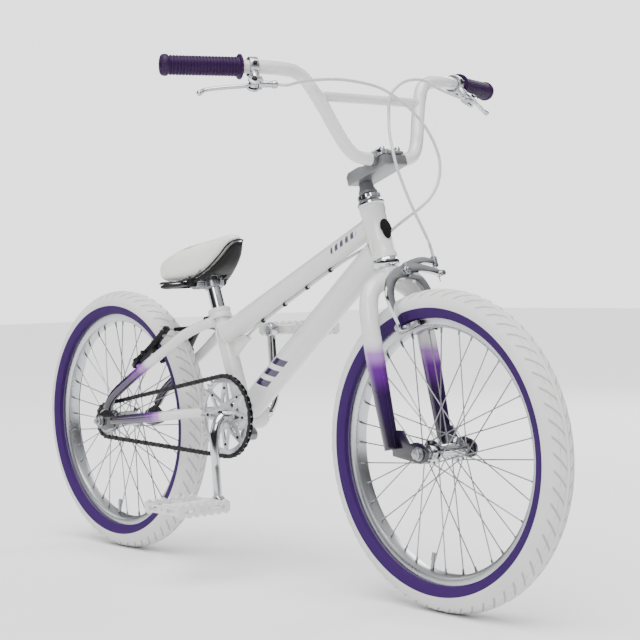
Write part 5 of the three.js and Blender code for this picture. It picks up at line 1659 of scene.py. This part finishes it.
def cut_away(piece, low, high):
    """Takes a box out of a piece."""
    form = Form().block(high[0] - low[0], high[1] - low[1], high[2] - low[2],
        (Vector(low) + Vector(high)) / 2)
    data = bpy.data.meshes.new("cutter")
    data.from_pydata([v * MM for v in form.vertices], [], form.faces)
    mesh = bmesh.new()
    mesh.from_mesh(data)
    bmesh.ops.recalc_face_normals(mesh, faces=mesh.faces)
    mesh.to_mesh(data)
    mesh.free()
    cutter = bpy.data.objects.new("cutter", data)
    bpy.context.scene.collection.objects.link(cutter)
    modifier = piece.modifiers.new("cut", "BOOLEAN")
    modifier.object = cutter
    modifier.solver = "EXACT"
    settle(piece)
    bpy.data.objects.remove(cutter)


def settle(piece):
    """Keeps the shape that the modifiers give and drops the modifiers."""
    bpy.context.view_layer.update()
    evaluated = piece.evaluated_get(bpy.context.evaluated_depsgraph_get())
    data = bpy.data.meshes.new_from_object(evaluated)
    piece.modifiers.clear()
    piece.data = data


def swell(piece, pressure, most):
    """Blows the padding up a little with cloth, held at the seam, and caps how far it moves."""
    remesh = piece.modifiers.new("even", "REMESH")
    remesh.mode = "VOXEL"
    remesh.voxel_size = VOXEL
    settle(piece)
    start = [v.co.copy() for v in piece.data.vertices]
    held = piece.vertex_groups.new(name="held")
    for vertex in piece.data.vertices:
        seam = along_saddle(SADDLE_SEAM, vertex.co.x / MM) * MM
        share = min(1, max(0, 1 - (vertex.co.z - seam - 0.004) / 0.012))
        held.add([vertex.index], share, "REPLACE")
    cloth = piece.modifiers.new("cloth", "CLOTH")
    settings = cloth.settings
    settings.quality = 6
    settings.use_pressure = True
    settings.uniform_pressure_force = pressure
    settings.effector_weights.gravity = 0
    settings.vertex_group_mass = "held"
    settings.tension_stiffness = 12
    settings.compression_stiffness = 12
    settings.bending_stiffness = 0.6
    scene = bpy.context.scene
    cloth.point_cache.frame_start = 1
    cloth.point_cache.frame_end = CLOTH_FRAMES
    for number in range(1, CLOTH_FRAMES + 1):
        scene.frame_set(number)
    settle(piece)
    scene.frame_set(1)
    for vertex, before in zip(piece.data.vertices, start):
        move = vertex.co - before
        if move.length > most:
            vertex.co = before + move.normalized() * most
    smoother = piece.modifiers.new("smooth", "CORRECTIVE_SMOOTH")
    smoother.use_only_smooth = True
    smoother.iterations = 6
    settle(piece)


def build_seatpost():
    post = Form().bar(on_seat_tube(90), on_seat_tube(245), SEATPOST_RADIUS - 0.05, None, 48)
    post.tube([on_seat_tube(s) for s in (244, 247, 262, 269, 270)],
        lambda t: (12.5, 11.1, 11.1, 11.1, 10.2)[round(t * 4)], 40)
    make("seatpost_tube", post, "seatpost", "chrome", ["seatpost"], smooth_limit=30)
    clamp = Form()

    def flutes(angle, r, s):
        return -0.9 * (0.5 + 0.5 * math.cos(angle * 22)) if r > 12.5 else 0

    clamp.lathe([(11.9, 246.5), (15.2, 246.5), (16, 247.4), (16, 265.2), (15.2, 266), (11.9, 266)],
        BRACKET, SEAT_UP, 48)
    for low, high in ((-15, -1), (1, 15)):
        clamp.lathe([(4, low), (12.4, low), (13.4, low + 0.8), (13.4, high - 0.8), (12.4, high),
            (4, high)], CLAMP_BOLT, Y_AXIS, 132, flutes)
    make("saddle_clamp_body", clamp, "seatpost", "steel", ["saddle_clamp"], smooth_limit=35)
    bolt = Form().bar(with_y(CLAMP_BOLT, -42), with_y(CLAMP_BOLT, 42), 4.2)
    for side in (-1, 1):
        cap = [(3, 33), (8, 33), (8.5, 33.8), (8.5, 40), (7, 42), (3, 42)]
        bolt.lathe([(r, side * y) for r, y in cap], CLAMP_BOLT, Y_AXIS, 36)
    make("saddle_clamp_bolt", bolt, "seatpost", "black_plastic", smooth_limit=30)


def build_rails():
    points = [(-268, 24, 549), (-250, 24, 545), (-215, 24, 540), (-175, 24, 539), (-150, 23, 541),
        (-128, 17, 550), (-112, 9, 562)]
    line = [*points, (-107, 0, 565), *[(x, -y, z) for x, y, z in reversed(points)]]
    rails = Form().tube(curve_through(line, 90), 3.45, 16)

    def flutes(angle, r, s):
        return -0.9 * (0.5 + 0.5 * math.cos(angle * 22)) if r > 13 else 0

    for side in (-1, 1):
        ear = [(5, 16), (12.8, 16), (13.8, 16.8), (13.8, 30.2), (12.8, 31), (5, 31)]
        rails.lathe([(r, side * y) for r, y in ear], CLAMP_BOLT, Y_AXIS, 132, flutes)
    make("saddle_rail_loop", rails, "saddle", "steel", ["saddle_rails"], smooth_limit=35)


def build_saddle(pressure):
    cover = make("saddle_padding", pod(SADDLE_TOP, SADDLE_SEAM, 1.5), "saddle", "cover", ["saddle_cover"],
        smooth_limit=70)
    swell(cover, pressure, MOST_SWELLING)
    cut_away(cover, (-264, -32, 480), (-146, 32, 555))
    cut_away(cover, (CLAMP_BOLT.x - 11, -60, 480), (CLAMP_BOLT.x + 11, 60, CLAMP_BOLT.z + 11))
    for polygon in cover.data.polygons:
        polygon.use_smooth = True
    cover.data.set_sharp_from_angle(angle=math.radians(60))
    lowered = [z - 0.5 for z in SADDLE_SEAM]
    base = make("saddle_shell", pod(lowered, SADDLE_UNDER, 1.5), "saddle", "black_plastic",
        ["saddle_base"], smooth_limit=40)
    cut_away(base, (-264, -32, 480), (-146, 32, 556))
    cut_away(base, (-150, -19, 480), (-128, 19, 556))
    cut_away(base, (CLAMP_BOLT.x - 11, -60, 480), (CLAMP_BOLT.x + 11, 60, CLAMP_BOLT.z + 11))
    base.data.set_sharp_from_angle(angle=math.radians(40))
    piping = []
    middle = (SADDLE_X[0] + SADDLE_X[-1]) / 2
    reach = middle - SADDLE_X[0] - 1
    for side in (1, -1):
        for i in range(41):
            angle = math.pi * (i / 40 if side > 0 else 1 - i / 40)
            girth = max(math.sin(angle), 0.02)
            x = middle - reach * math.copysign(max(0, 1 - girth**2.2) ** 0.62, math.cos(angle))
            y = (eased(SADDLE_HALF, x) - 0.8) * min(1, (girth**0.35) ** 0.66) * (1 if girth > 0.03 else 0)
            piping.append(Vector((x, side * y, eased(SADDLE_SEAM, x) + 0.5)))
    line = [p for p, q in zip(piping, piping[1:] + piping[:1]) if (p - q).length > 0.3]
    make("saddle_seam_piping", Form().tube(spaced(line + line[:1], 200)[:-1], 1.5, 10, looped=True),
        "saddle", "black_plastic")


# ---- the panel and its operators ---------------------------------------------------------------


class BicycleSizes(bpy.types.PropertyGroup):
    """Sizes and amounts a user would change."""

    tread_depth: bpy.props.FloatProperty(
        name="Tread depth", description="How deep the grooves of the tyre are, in millimetres",
        default=1.5, min=0, max=3
    )
    tread_blocks: bpy.props.IntProperty(
        name="Tread blocks", description="How many blocks stand round a tyre", default=62, min=24, max=90
    )
    padding_pressure: bpy.props.FloatProperty(
        name="Saddle padding", description="How hard the padding of the saddle is blown up", default=4.0,
        min=0, max=10
    )


class BicycleStage(bpy.types.PropertyGroup):
    """The light round the bicycle."""

    sky_light: bpy.props.FloatProperty(
        name="Soft light", description="Strength of the even light from all round", default=1.0, min=0,
        max=3
    )


class BICYCLE_OT_stage(bpy.types.Operator):
    """Makes the floor, the lights and the camera"""

    bl_idname = "bicycle.stage"
    bl_label = "Stage"

    def execute(self, context):
        build_stage(context.scene.bicycle_stage.sky_light)
        return {"FINISHED"}


class BICYCLE_OT_cables(bpy.types.Operator):
    """Makes the two brake housings and their clips"""

    bl_idname = "bicycle.cables"
    bl_label = "Cables"

    def execute(self, context):
        build_cables()
        return {"FINISHED"}


class BICYCLE_OT_wheels(bpy.types.Operator):
    """Makes the tyres, rims, spokes, hubs and axles"""

    bl_idname = "bicycle.wheels"
    bl_label = "Wheels"

    def execute(self, context):
        sizes = context.scene.bicycle_sizes
        build_wheels(sizes.tread_depth, sizes.tread_blocks)
        return {"FINISHED"}


class BICYCLE_OT_frame(bpy.types.Operator):
    """Makes the tubes, stays, headset, collar, cups and fork"""

    bl_idname = "bicycle.frame"
    bl_label = "Frame and fork"

    def execute(self, context):
        build_frame()
        return {"FINISHED"}


class BICYCLE_OT_cockpit(bpy.types.Operator):
    """Makes the stem, handlebar, grips and brake levers"""

    bl_idname = "bicycle.cockpit"
    bl_label = "Stem and handlebar"

    def execute(self, context):
        build_cockpit()
        return {"FINISHED"}


class BICYCLE_OT_brakes(bpy.types.Operator):
    """Makes the front caliper and the rear linear-pull brake"""

    bl_idname = "bicycle.brakes"
    bl_label = "Brakes"

    def execute(self, context):
        build_front_brake()
        build_rear_brake()
        return {"FINISHED"}


class BICYCLE_OT_drive(bpy.types.Operator):
    """Makes the crank, chainring, freewheel, chain and pedals"""

    bl_idname = "bicycle.drive"
    bl_label = "Drive train"

    def execute(self, context):
        build_drive()
        return {"FINISHED"}


class BICYCLE_OT_saddle(bpy.types.Operator):
    """Makes the seatpost, clamp, rails and padded saddle"""

    bl_idname = "bicycle.saddle"
    bl_label = "Seatpost and saddle"

    def execute(self, context):
        build_seatpost()
        build_rails()
        build_saddle(context.scene.bicycle_sizes.padding_pressure)
        return {"FINISHED"}


OPERATORS = (
    BICYCLE_OT_stage, BICYCLE_OT_cables, BICYCLE_OT_wheels, BICYCLE_OT_frame, BICYCLE_OT_cockpit,
    BICYCLE_OT_brakes,
    BICYCLE_OT_drive, BICYCLE_OT_saddle,
)


class BICYCLE_PT_panel(bpy.types.Panel):
    """Lists what can be made"""

    bl_idname = "BICYCLE_PT_panel"
    bl_label = "Bicycle"
    bl_space_type = "VIEW_3D"
    bl_region_type = "UI"
    bl_category = "Bicycle"

    def draw(self, context):
        for group in (context.scene.bicycle_sizes, context.scene.bicycle_stage):
            for name in group.bl_rna.properties.keys():
                if name not in ("rna_type", "name"):
                    self.layout.prop(group, name)
        for operator in OPERATORS:
            self.layout.operator(operator.bl_idname)


CLASSES = (BicycleSizes, BicycleStage, *OPERATORS, BICYCLE_PT_panel)


def register():
    for made in CLASSES:
        bpy.utils.register_class(made)
    bpy.types.Scene.bicycle_sizes = bpy.props.PointerProperty(type=BicycleSizes)
    bpy.types.Scene.bicycle_stage = bpy.props.PointerProperty(type=BicycleStage)


def unregister():
    del bpy.types.Scene.bicycle_stage
    del bpy.types.Scene.bicycle_sizes
    for made in reversed(CLASSES):
        bpy.utils.unregister_class(made)


def main():
    register()
    bpy.ops.bicycle.stage()
    bpy.ops.bicycle.cables()
    bpy.ops.bicycle.wheels()
    bpy.ops.bicycle.frame()
    bpy.ops.bicycle.cockpit()
    bpy.ops.bicycle.brakes()
    bpy.ops.bicycle.drive()
    bpy.ops.bicycle.saddle()


if __name__ == "__main__":
    main()
